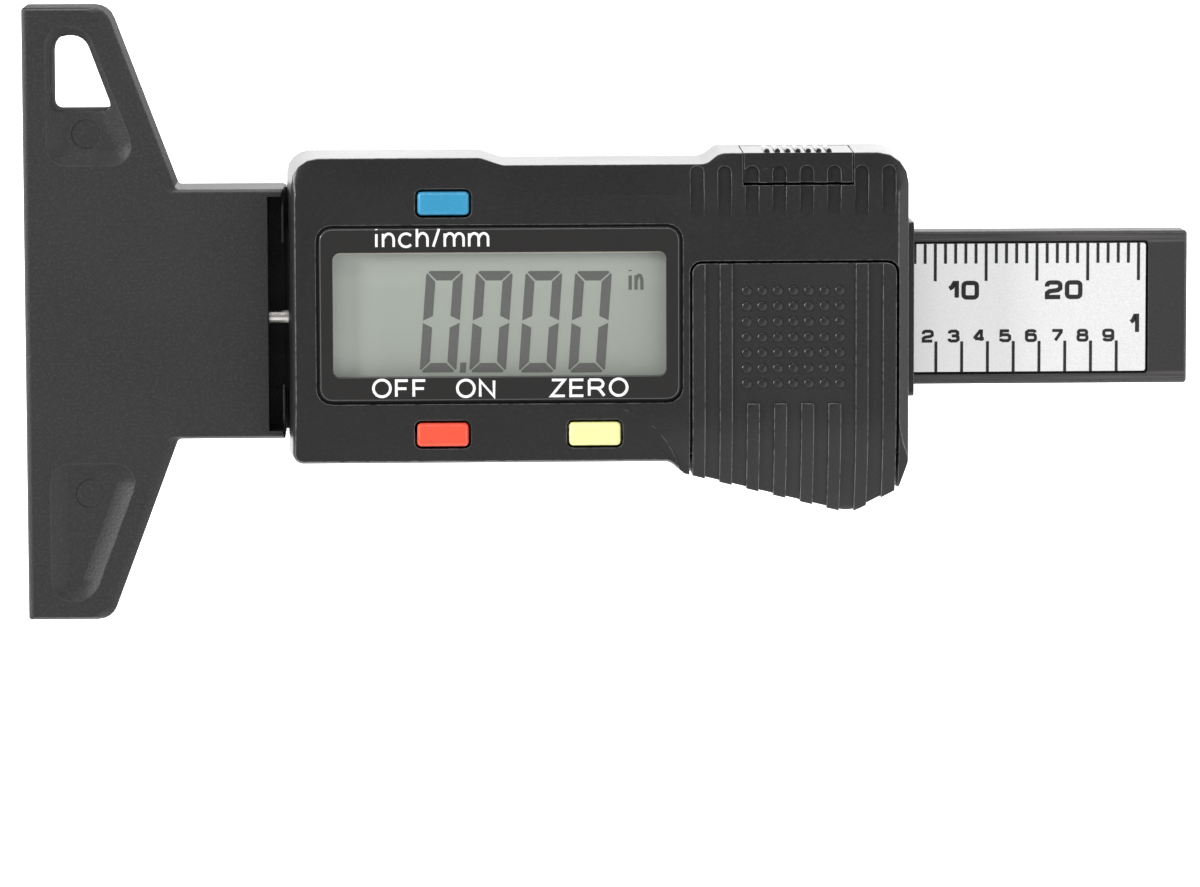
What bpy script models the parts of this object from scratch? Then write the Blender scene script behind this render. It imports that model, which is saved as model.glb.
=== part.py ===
"""Digital tread depth gauge, modelled lying on its back.

A black T-shaped measuring base is screwed to a display housing. A ruler bar with a steel probe pin
slides through both of them, towards -X, and the pin comes out of the measuring face at X = 0.
The housing holds a circuit board, a display, three buttons, a button cell under a sliding cover
and a data port under a small pull-out cover.

Every size is in metres. Sizes along X start at the measuring face, Y = 0 is the middle of the
ruler bar and Z = 0 is the back.
"""

import math

import bmesh
import bpy
from mathutils import Vector

# General fits
GAP = 0.00025           # clearance between two pieces that meet
SLIDE_GAP = 0.0003      # clearance round the ruler bar
WALL = 0.0014           # wall of the front cover
OVER = 0.001            # how far a cutter passes a face
SHARP = 0.00005         # radius of a corner that looks sharp
EDGE_BREAK = 0.0002     # broken edge of a small part
DEEP = 0.04             # reach of a cutter past the part it cuts

BAR_WIDTH = 0.01504
CHANNEL_HALF = BAR_WIDTH / 2 + SLIDE_GAP

# Measuring base
BASE_SPAN = 0.0599      # width of the measuring face
BASE_THICK = 0.009
BASE_LENGTH = 0.0253
NECK_WALL = 0.00443     # from the channel of the bar to the side of the neck
BASE_NECK = 2 * (CHANNEL_HALF + NECK_WALL)
FIN_TIP = 0.0082        # length of a fin at its tip
FIN_ROOT = 0.01485      # length of a fin where it meets the neck
FIN_CORNER = 0.0020
NECK_CORNER = 0.0004    # where a fin meets the neck
FIN_BEVEL = 0.0011      # along the slanted edge of a fin
FIN_BEVEL_DEPTH = 0.00045
BASE_EDGE = 0.0003
FACE_WALL = 0.002       # wall that carries the pin bore
EDGE_CHAMFER = 0.0006
FIN_RECESS = 0.0009     # depth of the dish in each fin
RECESS_BEVEL = 0.00165
RECESS_RIM = 0.0023     # flat rim round the dish
RECESS_TIP_RIM = 0.00185
RECESS_CORNER = 0.0019
RECESS_TIP_CORNER = 0.0026
EJECTOR_X = 0.0061
EJECTOR_FROM_NECK = 0.00535
HOLE_LEFT = 0.0028      # lanyard hole
HOLE_RIGHT = 0.00885
HOLE_TIP = 0.0061
HOLE_FROM_NECK = 0.00755
HOLE_FROM_TIP = 0.00275
HOLE_CORNER = 0.0007
HOLE_TIP_CORNER = 0.0017
EJECTOR_RADIUS = 0.00145
NECK_SIDE = 0.0008      # side wall of the sight notch
NOTCH_WIDTH = 0.0016
TONGUE = 0.0068         # length of the tongue under the housing

# Ends of the housing
SEAT_GAP = 0.00075      # between the base and the housing
HOUSING_LENGTH = 0.05965
HOUSING_LEFT = BASE_LENGTH + SEAT_GAP
HOUSING_RIGHT = HOUSING_LEFT + HOUSING_LENGTH
COVER_MARGIN = 0.0012   # housing right of the battery cover
COVER_WIDTH = 0.01978
COVER_RIGHT = HOUSING_RIGHT - COVER_MARGIN
COVER_LEFT = COVER_RIGHT - COVER_WIDTH

# Ruler bar and probe
TRAVEL = 0.0254         # one inch
BAR_THICK = 0.0042
BAR_BOTTOM = 0.0024
BAR_START = FACE_WALL + TRAVEL + SLIDE_GAP
BAR_OUT = 0.02813       # bar past the housing at zero
BAR_END = HOUSING_RIGHT + BAR_OUT
BAR_CHAMFER = 0.00025
PIN_RADIUS = 0.0007
PIN_Y = -0.00065
PIN_GRIP = 0.0086       # length of the pin held in the bar
SCALE_MARGIN = 0.0041   # bare bar past the end of the scale
SCALE_WIDTH = 0.0126
SCALE_START = BAR_START + 0.0068
SCALE_THICK = 0.00025
GRID_THICK = 0.0002
GRID_MARGIN = 0.0003
STOP_X = HOUSING_LEFT + 0.03395
STOP_RADIUS = 0.0012
STOP_SHOULDER = 0.0004
STOP_SLOT_LOW = 0.0009

# Housing
FRONT = 0.0154          # height of the front face
PARTING = 0.00565       # height of the joint between rear frame and front cover
HOUSING_BOTTOM = -0.01405
LEFT_TOP = 0.01552
WAIST_TOP = 0.0148
GRIP_TOP = 0.01585
WAIST_FROM_LEFT = 0.0193
WAIST_PAST_COVER = 0.00203
WAIST_START = HOUSING_LEFT + WAIST_FROM_LEFT
WAIST_END = COVER_LEFT + WAIST_PAST_COVER
THUMB_BEFORE_COVER = 0.00152
THUMB_TIP_INSET = 0.0043
THUMB_START = COVER_LEFT - THUMB_BEFORE_COVER
THUMB_TIP_X = COVER_RIGHT - THUMB_TIP_INSET
THUMB_TIP_Y = -0.0195
SHOULDER = 0.0006       # height of the bevel round the front face
TOP_BEVEL = 0.0029
RIGHT_BEVEL = 0.001
EDGE_BEVEL = 0.00035
FRAME_STEP = 0.0005     # the rear frame stands back from the front cover
ROOF = 0.0018           # thickness of the front face
ARC_RADIUS = 0.00845    # crease between the key strip and the thumb ramp
ARC_DROP = 0.00285
ARC_X = THUMB_START - ARC_RADIUS + 0.00055
STRIP_DROP = 0.00025
RAMP_RADIUS = 0.0195
RAMP_START = -0.009
COLLAR = 0.00115        # collar round the bar at the right end
COLLAR_WALL = 0.00078
COLLAR_CORNER = 0.0005

# Display
WINDOW_MARGIN = 0.00235
WINDOW_RIB = 0.00092    # between the window and the battery cover
WINDOW_LEFT = HOUSING_LEFT + WINDOW_MARGIN
WINDOW_RIGHT = COVER_LEFT - WINDOW_RIB
WINDOW_TOP = 0.00907
WINDOW_BOTTOM = -0.00825
WINDOW_CORNER = 0.0015
WINDOW_THICK = 0.0008
WINDOW_SINK = 0.0001
VIEW_BORDER = 0.00162   # black border of the window
VIEW_BORDER_TOP = 0.00252
VIEW_BORDER_LOW = 0.0028
VIEW_LEFT = WINDOW_LEFT + VIEW_BORDER
VIEW_RIGHT = WINDOW_RIGHT - VIEW_BORDER
VIEW_TOP = WINDOW_TOP - VIEW_BORDER_TOP
VIEW_BOTTOM = WINDOW_BOTTOM + VIEW_BORDER_LOW
VIEW_CORNER = 0.0008
DISPLAY_THICK = 0.0019
STRIP_INSET = 0.002     # contact strips end this far inside the glass
DISPLAY_RIM = 0.0008    # display glass past the visible area

# Keys
KEY_WIDTH = 0.00495
KEY_HEIGHT = 0.00225
KEY_CORNER = 0.0004
KEY_PROUD = 0.00015
KEY_TRAVEL = 0.0004
KEY_FLANGE = 0.0005
UNIT_KEY_X = 0.01465
ZERO_KEY_X = 0.00915    # from the middle of the window
KEY_FROM_TOP = 0.00435
KEY_FROM_LOW = 0.00282
UNIT_KEY = (HOUSING_LEFT + UNIT_KEY_X, LEFT_TOP - KEY_FROM_TOP)
POWER_KEY = (HOUSING_LEFT + UNIT_KEY_X - 0.00015, HOUSING_BOTTOM + KEY_FROM_LOW)
ZERO_KEY = ((WINDOW_LEFT + WINDOW_RIGHT) / 2 + ZERO_KEY_X, HOUSING_BOTTOM + KEY_FROM_LOW)

# Battery cover
COVER_TOP = 0.0052
COVER_CORNER = 0.0009
COVER_PLATE = 0.0012
COVER_WALL = 0.00135
RIB_PITCH = 0.002633
RIB_WIDTH = 0.00126
RIB_COUNT = 8
RIB_RELIEF = 0.0003     # of the ribs on the front
RIB_SIDE = 0.00016      # and on the side
THUMB_RIBS_TOP = -0.0084
RAIL_THICK = 0.0006
RAIL_LOW = 0.01275
RAIL_REACH = 0.0006

# Data port cover
PORT_WIDTH = 0.0102
PORT_SHIFT = 0.00039    # from the middle of the battery cover
PORT_MIDDLE = (COVER_LEFT + COVER_RIGHT) / 2 + PORT_SHIFT
PORT_LEFT = PORT_MIDDLE - PORT_WIDTH / 2
PORT_RIGHT = PORT_MIDDLE + PORT_WIDTH / 2
PORT_EDGE = 0.0130
PORT_FOOT = 0.00765
PORT_RIBS = 7
PORT_RIB_PITCH = 0.001
PORT_RIB_RADIUS = 0.0003
FLUTE_PITCH = 0.00265
FLUTE_COUNT = 8
FLUTE_FIRST = COVER_LEFT + 0.00048
FLUTE_WIDTH = 0.00126
FLUTE_TOP = 0.0146      # round end of a flute in the bevel
FLUTE_END = 0.0097      # where its floor comes up to the front face
FLUTE_DEPTH = 0.0007    # of the floor under the front face, at the round end

# Electronics
BOARD_THICK = 0.0008
BOARD_ROOM = 0.0003     # between the board and the front cover, past the usual gap
BOARD_HALF_WIDTH = -HOUSING_BOTTOM - WALL - GAP - BOARD_ROOM
CELL_RADIUS = 0.0058
CELL_HEIGHT = 0.0054
CELL_X = (COVER_LEFT + COVER_RIGHT) / 2
CELL_Y = -0.0018
CHIP_X = (HOUSING_LEFT + 0.01995, HOUSING_LEFT + 0.02695)
CHIP_Y = (-0.003, 0.004)
NEGATIVE_HALF = 0.002   # half width of the strip under the cell
STRIP_METAL = 0.0002
SWITCH_HALF = (0.0019, 0.0014)
SWITCH_HEIGHT = 0.0008

# Fasteners
SCREW_RADIUS = 0.0009
SCREW_HEAD = 0.00175
SCREW_HEAD_THICK = 0.0011
HEAD_SINK = 0.0003      # heads lie this far under the back
SCREW_END = 0.0014      # from the tip of a housing screw to the roof
BOSS_RADIUS = 0.0016
SCREW_INSET = 0.00845   # of the left pair, from the left end
SCREW_FROM_RIGHT = 0.0035
SCREW_FROM_EDGE = 0.0033
HOUSING_SCREWS = ((HOUSING_LEFT + SCREW_INSET, LEFT_TOP - SCREW_FROM_EDGE),
                  (HOUSING_LEFT + SCREW_INSET, HOUSING_BOTTOM + SCREW_FROM_EDGE),
                  (HOUSING_RIGHT - SCREW_FROM_RIGHT, GRIP_TOP - SCREW_FROM_EDGE),
                  (THUMB_START - 0.0016, HOUSING_BOTTOM + 0.00265))
BASE_SCREW_Y = CHANNEL_HALF + 0.00218
BASE_SCREWS = ((BASE_LENGTH + 0.0042, BASE_SCREW_Y), (BASE_LENGTH + 0.0042, -BASE_SCREW_Y))
BOARD_SCREW_X = HOUSING_LEFT + 0.02245
BOARD_SCREW_Y = BOARD_HALF_WIDTH - 0.0012
BOARD_SCREWS = ((BOARD_SCREW_X, BOARD_SCREW_Y), (BOARD_SCREW_X, -BOARD_SCREW_Y))
BASE_SCREW_TIP = 0.0059
BOARD_SCREW = 0.0007
BOARD_SCREW_TIP = 0.0034

# Spring beside the bar
SPRING_X = (HOUSING_LEFT + 0.01295, HOUSING_LEFT + 0.02695)
SPRING_METAL = 0.00022
SPRING_BOW = 0.00055

# Heights and widths that follow from the sizes above
BAR_TOP = BAR_BOTTOM + BAR_THICK
CHANNEL_LOW = BAR_BOTTOM - SLIDE_GAP
CHANNEL_HIGH = BAR_TOP + SLIDE_GAP
PIN_Z = BAR_BOTTOM + BAR_THICK / 2
RAIL_TOP = BAR_TOP + 0.00005
BOARD_LOW = CHANNEL_HIGH + 0.00005
BOARD_HIGH = BOARD_LOW + BOARD_THICK
ROOF_LOW = FRONT - ROOF
CELL_LOW = BOARD_HIGH + STRIP_METAL + 2 * GAP
COVER_FOOT = PARTING + 0.00015


def clear_scene():
    for item in list(bpy.data.objects):
        bpy.data.objects.remove(item, do_unlink=True)


def material(name, colour, roughness, metallic=0.0, alpha=1.0):
    finish = bpy.data.materials.new(name)
    finish.use_nodes = True
    shader = finish.node_tree.nodes["Principled BSDF"]
    shader.inputs["Base Color"].default_value = (*colour, 1.0)
    shader.inputs["Roughness"].default_value = roughness
    shader.inputs["Metallic"].default_value = metallic
    shader.inputs["Alpha"].default_value = alpha
    finish.diffuse_color = (*colour, alpha)
    return finish


# Outlines

def corner_arc(point, before, after, radius, steps):
    """Points of the round that replaces one corner, from the edge before it to the edge after."""
    angle = math.atan2(before.x * after.y - before.y * after.x, before.dot(after))
    start = point - before * (radius * math.tan(abs(angle) / 2))
    side = Vector((-before.y, before.x)) * math.copysign(radius, angle)
    points = []
    for step in range(steps + 1):
        turn = angle * step / steps
        spoke = Vector((-side.x * math.cos(turn) + side.y * math.sin(turn),
                        -side.x * math.sin(turn) - side.y * math.cos(turn)))
        points.append(start + side + spoke)
    return points


def rounded(corners, insets=0.0, steps=4):
    """Closed loop round the corners (x, y, radius), with each edge moved inwards by its inset."""
    count = len(corners)
    if isinstance(insets, float):
        insets = [insets] * count
    edges = []
    for index, corner in enumerate(corners):
        start = Vector(corner[:2])
        along = (Vector(corners[(index + 1) % count][:2]) - start).normalized()
        edges.append((start + Vector((-along.y, along.x)) * insets[index], along))
    loop = []
    for index, corner in enumerate(corners):
        (start, before), (end, after) = edges[index - 1], edges[index]
        turn = before.x * after.y - before.y * after.x
        reach = ((end - start).x * after.y - (end - start).y * after.x) / turn
        shift = (insets[index - 1] + insets[index]) / 2
        radius = max(corner[2] - math.copysign(shift, turn), SHARP)
        loop.extend(corner_arc(start + before * reach, before, after, radius, steps))
    return [(point.x, point.y) for point in loop]


def rectangle(x, y, radius=SHARP):
    return [(x[0], y[0], radius), (x[1], y[0], radius), (x[1], y[1], radius), (x[0], y[1], radius)]


def circle(centre, radius, steps=20):
    turns = [2 * math.pi * step / steps for step in range(steps)]
    return [(centre[0] + radius * math.cos(t), centre[1] + radius * math.sin(t)) for t in turns]


# Solids. An outline lies across the axis: (x, y) on Z, (y, z) on X and (z, x) on Y.

def along_axis(axis, a, b, c):
    return {"X": (c, a, b), "Y": (b, c, a), "Z": (a, b, c)}[axis]


def add_loft(bm, sections, axis="Z"):
    """Closed solid through outlines of the same number of points, each with its height."""
    rings = []
    for loop, height in sections:
        rings.append([bm.verts.new(along_axis(axis, a, b, height)) for a, b in loop])
    count = len(rings[0])
    for low, high in zip(rings, rings[1:]):
        for index in range(count):
            after = (index + 1) % count
            bm.faces.new((low[index], low[after], high[after], high[index]))
    bm.faces.new(rings[0][::-1])
    bm.faces.new(rings[-1])


def add_prism(bm, loop, span, axis="Z"):
    add_loft(bm, [(loop, span[0]), (loop, span[1])], axis)


def add_block(bm, x, y, z):
    add_prism(bm, [(x[0], y[0]), (x[1], y[0]), (x[1], y[1]), (x[0], y[1])], z)


def add_turned(bm, centre, profile, axis="Z", steps=16):
    """Round solid through rings of (radius, height)."""
    add_loft(bm, [(circle(centre, radius, steps), height) for radius, height in profile], axis)


def new_object(name, bm, finish=None):
    """Object from a mesh, with its faces pointing out."""
    bmesh.ops.recalc_face_normals(bm, faces=bm.faces)
    mesh = bpy.data.meshes.new(name)
    bm.to_mesh(mesh)
    bm.free()
    item = bpy.data.objects.new(name, mesh)
    bpy.context.scene.collection.objects.link(item)
    if finish:
        mesh.materials.append(finish)
    return item


def tool(bm):
    """A shape used only to cut or join, which finish_piece removes."""
    item = new_object("tool", bm)
    item.hide_render = True
    item.display_type = "WIRE"
    return item


def prism_tool(loop, span, axis="Z"):
    bm = bmesh.new()
    add_prism(bm, loop, span, axis)
    return tool(bm)


def block_tool(x, y, z):
    bm = bmesh.new()
    add_block(bm, x, y, z)
    return tool(bm)


def turned_tool(centres, profile, axis="Z", steps=16):
    bm = bmesh.new()
    for centre in centres:
        add_turned(bm, centre, profile, axis, steps)
    return tool(bm)


def combine(item, other, operation="DIFFERENCE"):
    step = item.modifiers.new(operation.lower(), "BOOLEAN")
    step.operation = operation
    step.solver = "EXACT"
    step.object = other
    return item


def finish_piece(item, origin, parent):
    """Apply the steps on a piece, shade it and hang it on its parent at its own origin."""
    view = bpy.context.evaluated_depsgraph_get()
    mesh = bpy.data.meshes.new_from_object(item.evaluated_get(view), depsgraph=view)
    mesh.name = item.name
    item.modifiers.clear()
    item.data = mesh
    place = Vector(origin)
    for vertex in mesh.vertices:
        vertex.co -= place
    mesh.shade_smooth()
    mesh.set_sharp_from_angle(angle=math.radians(30))
    item.parent = parent
    item.location = place - parent.location if parent.parent else place
    return item


# Measuring base

def base_corners():
    half = BASE_SPAN / 2
    neck = BASE_NECK / 2
    right = [(0.0, -half, 0.0003), (FIN_TIP, -half, FIN_CORNER), (FIN_ROOT, -neck, NECK_CORNER),
             (BASE_LENGTH, -neck, EDGE_BREAK)]
    left = [(x, -y, radius) for x, y, radius in reversed(right)]
    return right + left


def fin_recess(side):
    """Dish in one fin, with a soft bevel all round."""
    near = BASE_NECK / 2 + RECESS_RIM
    far = BASE_SPAN / 2 - RECESS_TIP_RIM
    slope = (FIN_ROOT - FIN_TIP) / (BASE_SPAN / 2 - BASE_NECK / 2)
    edge = FIN_ROOT - RECESS_RIM - EDGE_CHAMFER / 2
    corners = [(RECESS_RIM, near, RECESS_CORNER), (edge - slope * RECESS_RIM, near, RECESS_CORNER),
               (edge - slope * (far - BASE_NECK / 2), far, RECESS_TIP_CORNER),
               (RECESS_RIM, far, RECESS_CORNER)]
    corners = [(x, side * y, radius) for x, y, radius in corners]
    if side < 0:
        corners.reverse()
    bm = bmesh.new()
    bottom = rounded(corners, RECESS_BEVEL)
    add_loft(bm, [(bottom, BASE_THICK - FIN_RECESS), (rounded(corners), BASE_THICK),
                  (rounded(corners, -0.0002), BASE_THICK + OVER)])
    return tool(bm)


def lanyard_hole():
    near = BASE_NECK / 2 + HOLE_FROM_NECK
    far = BASE_SPAN / 2 - HOLE_FROM_TIP
    corners = [(HOLE_LEFT, near, HOLE_CORNER), (HOLE_RIGHT, near, HOLE_CORNER),
               (HOLE_TIP, far, HOLE_TIP_CORNER), (HOLE_LEFT, far, HOLE_TIP_CORNER)]
    return prism_tool(rounded(corners), (-OVER, BASE_THICK + OVER))


def measuring_base(parent, finish):
    bm = bmesh.new()
    corners = base_corners()
    inner = rounded(corners, BASE_EDGE)
    drafted = rounded(corners, [SHARP] * 7 + [0.0])
    soft = [BASE_EDGE, FIN_BEVEL, BASE_EDGE, BASE_EDGE, BASE_EDGE, FIN_BEVEL, BASE_EDGE, BASE_EDGE]
    add_loft(bm, [(inner, 0.0), (rounded(corners), BASE_EDGE), (drafted, BASE_THICK - FIN_BEVEL_DEPTH),
                  (rounded(corners, soft), BASE_THICK)])
    item = new_object("measuring_base", bm, finish)
    notch = BASE_LENGTH - NOTCH_WIDTH
    shoulder = CHANNEL_HALF - 0.0009
    ends = (notch, BASE_LENGTH + OVER)
    side = BASE_NECK / 2 - NECK_SIDE
    channel = rectangle((-CHANNEL_HALF, CHANNEL_HALF), (CHANNEL_LOW, CHANNEL_HIGH))
    combine(item, prism_tool(rounded(channel, steps=1), (FACE_WALL, BASE_LENGTH + OVER), "X"))
    combine(item, block_tool(ends, (-side, side), (BASE_THICK - OVER, BASE_THICK + OVER)))
    combine(item, block_tool(ends, (-shoulder, shoulder), (PIN_Z, BASE_THICK + OVER)))
    bore = [(PIN_RADIUS + SLIDE_GAP, -0.001), (PIN_RADIUS + SLIDE_GAP, FACE_WALL + OVER)]
    combine(item, turned_tool([(PIN_Y, PIN_Z)], bore, "X"))
    edge = [(-OVER, BASE_THICK - EDGE_CHAMFER), (-OVER, BASE_THICK + OVER), (EDGE_CHAMFER, BASE_THICK + OVER),
            (EDGE_CHAMFER, BASE_THICK), (0.0, BASE_THICK - EDGE_CHAMFER / 2)]
    swapped = [(z, x) for x, z in edge]
    combine(item, prism_tool(swapped, (-BASE_SPAN, BASE_SPAN), "Y"))
    for side in (-1, 1):
        combine(item, fin_recess(side))
        mark = [(EJECTOR_RADIUS, BASE_THICK - FIN_RECESS - 0.00015), (EJECTOR_RADIUS, BASE_THICK)]
        combine(item, turned_tool([(EJECTOR_X, side * (BASE_NECK / 2 + EJECTOR_FROM_NECK))], mark))
    combine(item, lanyard_hole())
    combine(item, base_tongue(), "UNION")
    combine(item, turned_tool(BASE_SCREWS, screw_bore(-OVER, HEAD_SINK + SCREW_HEAD_THICK, SCREW_HEAD)))
    combine(item, turned_tool(BASE_SCREWS, screw_bore(-OVER, CHANNEL_LOW + OVER)))
    return finish_piece(item, (0, 0, 0), parent)


def base_tongue():
    """Tongue that runs under the rear frame and takes the two screws."""
    side = BASE_NECK / 2 - 0.0003
    corners = rectangle((BASE_LENGTH - OVER, BASE_LENGTH + TONGUE), (-side, side), 0.0008)
    return prism_tool(rounded(corners), (0.0, CHANNEL_LOW - GAP))


def screws(name, centres, profile, parent, finish):
    for number, centre in enumerate(centres, start=1):
        bm = bmesh.new()
        add_turned(bm, centre, profile, steps=12)
        finish_piece(new_object(f"{name}_{number}", bm, finish), (*centre, 0.0), parent)


def screw_profile(low, high, head_radius=SCREW_HEAD, radius=SCREW_RADIUS):
    """Screw with its head at the back and a short cone at its tip."""
    neck = low + SCREW_HEAD_THICK
    return [(head_radius, low), (head_radius, neck - EDGE_BREAK), (radius, neck), (radius, high - 0.0006),
            (radius * 0.3, high)]


def screw_bore(low, high, radius=SCREW_RADIUS):
    """Rings of a bore that clears a screw, or its head."""
    return [(radius + GAP, low), (radius + GAP, high)]


# Housing

def housing_corners():
    return [
        (HOUSING_LEFT, HOUSING_BOTTOM, 0.001),
        (THUMB_START - 0.0007, HOUSING_BOTTOM, 0.0012),
        (THUMB_START + 0.00075, HOUSING_BOTTOM - 0.00125, 0.0006),
        (THUMB_TIP_X, THUMB_TIP_Y, 0.0026),
        (HOUSING_RIGHT - 0.0009, THUMB_TIP_Y + 0.0025, 0.0012),
        (HOUSING_RIGHT, HOUSING_BOTTOM - 0.00025, 0.0012),
        (HOUSING_RIGHT, GRIP_TOP, 0.003),
        (WAIST_END + 0.00065, GRIP_TOP, 0.0015),
        (WAIST_END - 0.00065, WAIST_TOP, 0.0015),
        (WAIST_START + 0.00105, WAIST_TOP, 0.0018),
        (WAIST_START - 0.00105, LEFT_TOP, 0.0018),
        (HOUSING_LEFT, LEFT_TOP, 0.0026),
    ]


def edge_insets(left, top, right, bottom):
    """One inset for each edge of the housing outline, in the order of its corners."""
    return [bottom] * 4 + [right] * 2 + [top] * 5 + [left]


def add_housing_form(bm, inset=0.0, depth=0.0, foot=COVER_FOOT):
    """Outer form of the front cover, or the same form smaller by an inset and a depth."""
    corners = housing_corners()
    drafted = [inset + draft for draft in edge_insets(-0.0005, -0.0003, -0.0002, -0.0002)]
    bevelled = edge_insets(EDGE_BEVEL, TOP_BEVEL, RIGHT_BEVEL, EDGE_BEVEL)
    add_loft(bm, [(rounded(corners, drafted), foot),
                  (rounded(corners, inset), FRONT - SHOULDER - depth),
                  (rounded(corners, [inset + width for width in bevelled]), FRONT - depth)])


def crease_circle():
    """Round that ends the key strip and leaves it out of the thumb ramp."""
    return circle((ARC_X, HOUSING_BOTTOM - ARC_DROP), ARC_RADIUS, 64)


def ramp_tool(depth=0.0):
    """Everything above the thumb ramp, which starts outside the arc on the face."""
    radius = RAMP_RADIUS - depth
    centre_z = FRONT - RAMP_RADIUS
    arc = []
    for step in range(10):
        angle = math.radians(90 + step * 5)
        arc.append((RAMP_START + radius * math.cos(angle), centre_z + radius * math.sin(angle)))
    arc += [(arc[-1][0], FRONT + DEEP), (RAMP_START, FRONT + DEEP)]
    ramp = prism_tool(arc, (ARC_X, HOUSING_RIGHT + DEEP), "X")
    return combine(ramp, prism_tool(crease_circle(), (0.0, DEEP)))


def housing_tool(inset, depth, foot):
    bm = bmesh.new()
    add_housing_form(bm, inset, depth, foot)
    return combine(tool(bm), ramp_tool(depth))


def strip_tool():
    """Shallow slope of the key strip under the display, as far as the arc."""
    start = RAMP_START + 0.0005
    low_end = HOUSING_BOTTOM - 0.002
    drop = STRIP_DROP * (start - low_end) / (start - HOUSING_BOTTOM)
    wedge = [(start, FRONT), (start, FRONT + 0.002), (low_end, FRONT + 0.002), (low_end, FRONT - drop)]
    arc = crease_circle()
    right = arc[48:] + arc[:17]
    plan = right + [(0.0, right[-1][1]), (0.0, right[0][1])]
    return combine(prism_tool(wedge, (OVER, HOUSING_RIGHT), "X"), prism_tool(plan, (0.0, DEEP)), "INTERSECT")


def bay_corners(room=0.0):
    """Battery bay, open towards -Y."""
    return [(COVER_LEFT - room, -DEEP, SHARP), (COVER_RIGHT + room, -DEEP, SHARP),
            (COVER_RIGHT + room, COVER_TOP + room, COVER_CORNER + room),
            (COVER_LEFT - room, COVER_TOP + room, COVER_CORNER + room)]


def port_block(room=0.0):
    return block_tool((PORT_LEFT - room, PORT_RIGHT + room), (PORT_EDGE - room, DEEP),
                      (PORT_FOOT - room, FRONT + 0.002))


def flute_tool():
    """Finger flutes along the top edge: slots with a round end, whose floor rises to the face."""
    bm = bmesh.new()
    half = FLUTE_WIDTH / 2
    for index in range(FLUTE_COUNT):
        middle = FLUTE_FIRST + FLUTE_PITCH * index
        slot = rectangle((middle - half, middle + half), (FLUTE_END - OVER, FLUTE_TOP), half - SHARP)
        add_prism(bm, rounded(slot), (0.0, DEEP))
    wedge = [(FLUTE_END, FRONT), (FLUTE_TOP, FRONT - FLUTE_DEPTH), (FLUTE_TOP, DEEP), (FLUTE_END, DEEP)]
    return combine(tool(bm), prism_tool(wedge, (0.0, HOUSING_RIGHT), "X"), "INTERSECT")


def key_corners(key, room=0.0):
    half_x = KEY_WIDTH / 2 + room
    half_y = KEY_HEIGHT / 2 + room
    return rectangle((key[0] - half_x, key[0] + half_x), (key[1] - half_y, key[1] + half_y),
                     KEY_CORNER + room)


def front_cover(parent, finish):
    bm = bmesh.new()
    add_housing_form(bm)
    item = new_object("front_cover", bm, finish)
    combine(item, ramp_tool())
    combine(item, strip_tool())
    combine(item, housing_tool(WALL, ROOF, COVER_FOOT - OVER))
    combine(item, prism_tool(rounded(bay_corners(GAP)), (0.0, DEEP)))
    rails = (COVER_LEFT - RAIL_REACH - GAP, COVER_RIGHT + RAIL_REACH - 0.00015 + GAP)
    groove = (RAIL_LOW - GAP, ROOF_LOW - 0.00002)
    combine(item, block_tool(rails, (-DEEP, COVER_TOP), groove))
    recess = rectangle((WINDOW_LEFT, WINDOW_RIGHT), (WINDOW_BOTTOM, WINDOW_TOP), WINDOW_CORNER)
    combine(item, prism_tool(rounded(recess), (window_low() - GAP, DEEP)))
    view = rectangle((VIEW_LEFT, VIEW_RIGHT), (VIEW_BOTTOM, VIEW_TOP), VIEW_CORNER)
    combine(item, prism_tool(rounded(view, -GAP), (ROOF_LOW - OVER, DEEP)))
    for key in (UNIT_KEY, POWER_KEY, ZERO_KEY):
        combine(item, prism_tool(rounded(key_corners(key, GAP)), (ROOF_LOW - OVER, DEEP)))
    combine(item, port_block(GAP))
    combine(item, flute_tool())
    combine(item, bar_collar(COVER_FOOT, CHANNEL_HIGH + COLLAR_WALL), "UNION")
    combine(item, block_tool((0.0, BAR_END), (-CHANNEL_HALF - GAP, CHANNEL_HALF + GAP),
                             (0.0, CHANNEL_HIGH)))
    boss = [(BOSS_RADIUS, RAIL_TOP + GAP), (BOSS_RADIUS, ROOF_LOW + 0.0004)]
    combine(item, turned_tool(HOUSING_SCREWS, boss), "UNION")
    combine(item, turned_tool(HOUSING_SCREWS, screw_bore(0.0, ROOF_LOW - SCREW_END + GAP)))
    return finish_piece(item, (0, 0, 0), parent)


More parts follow.
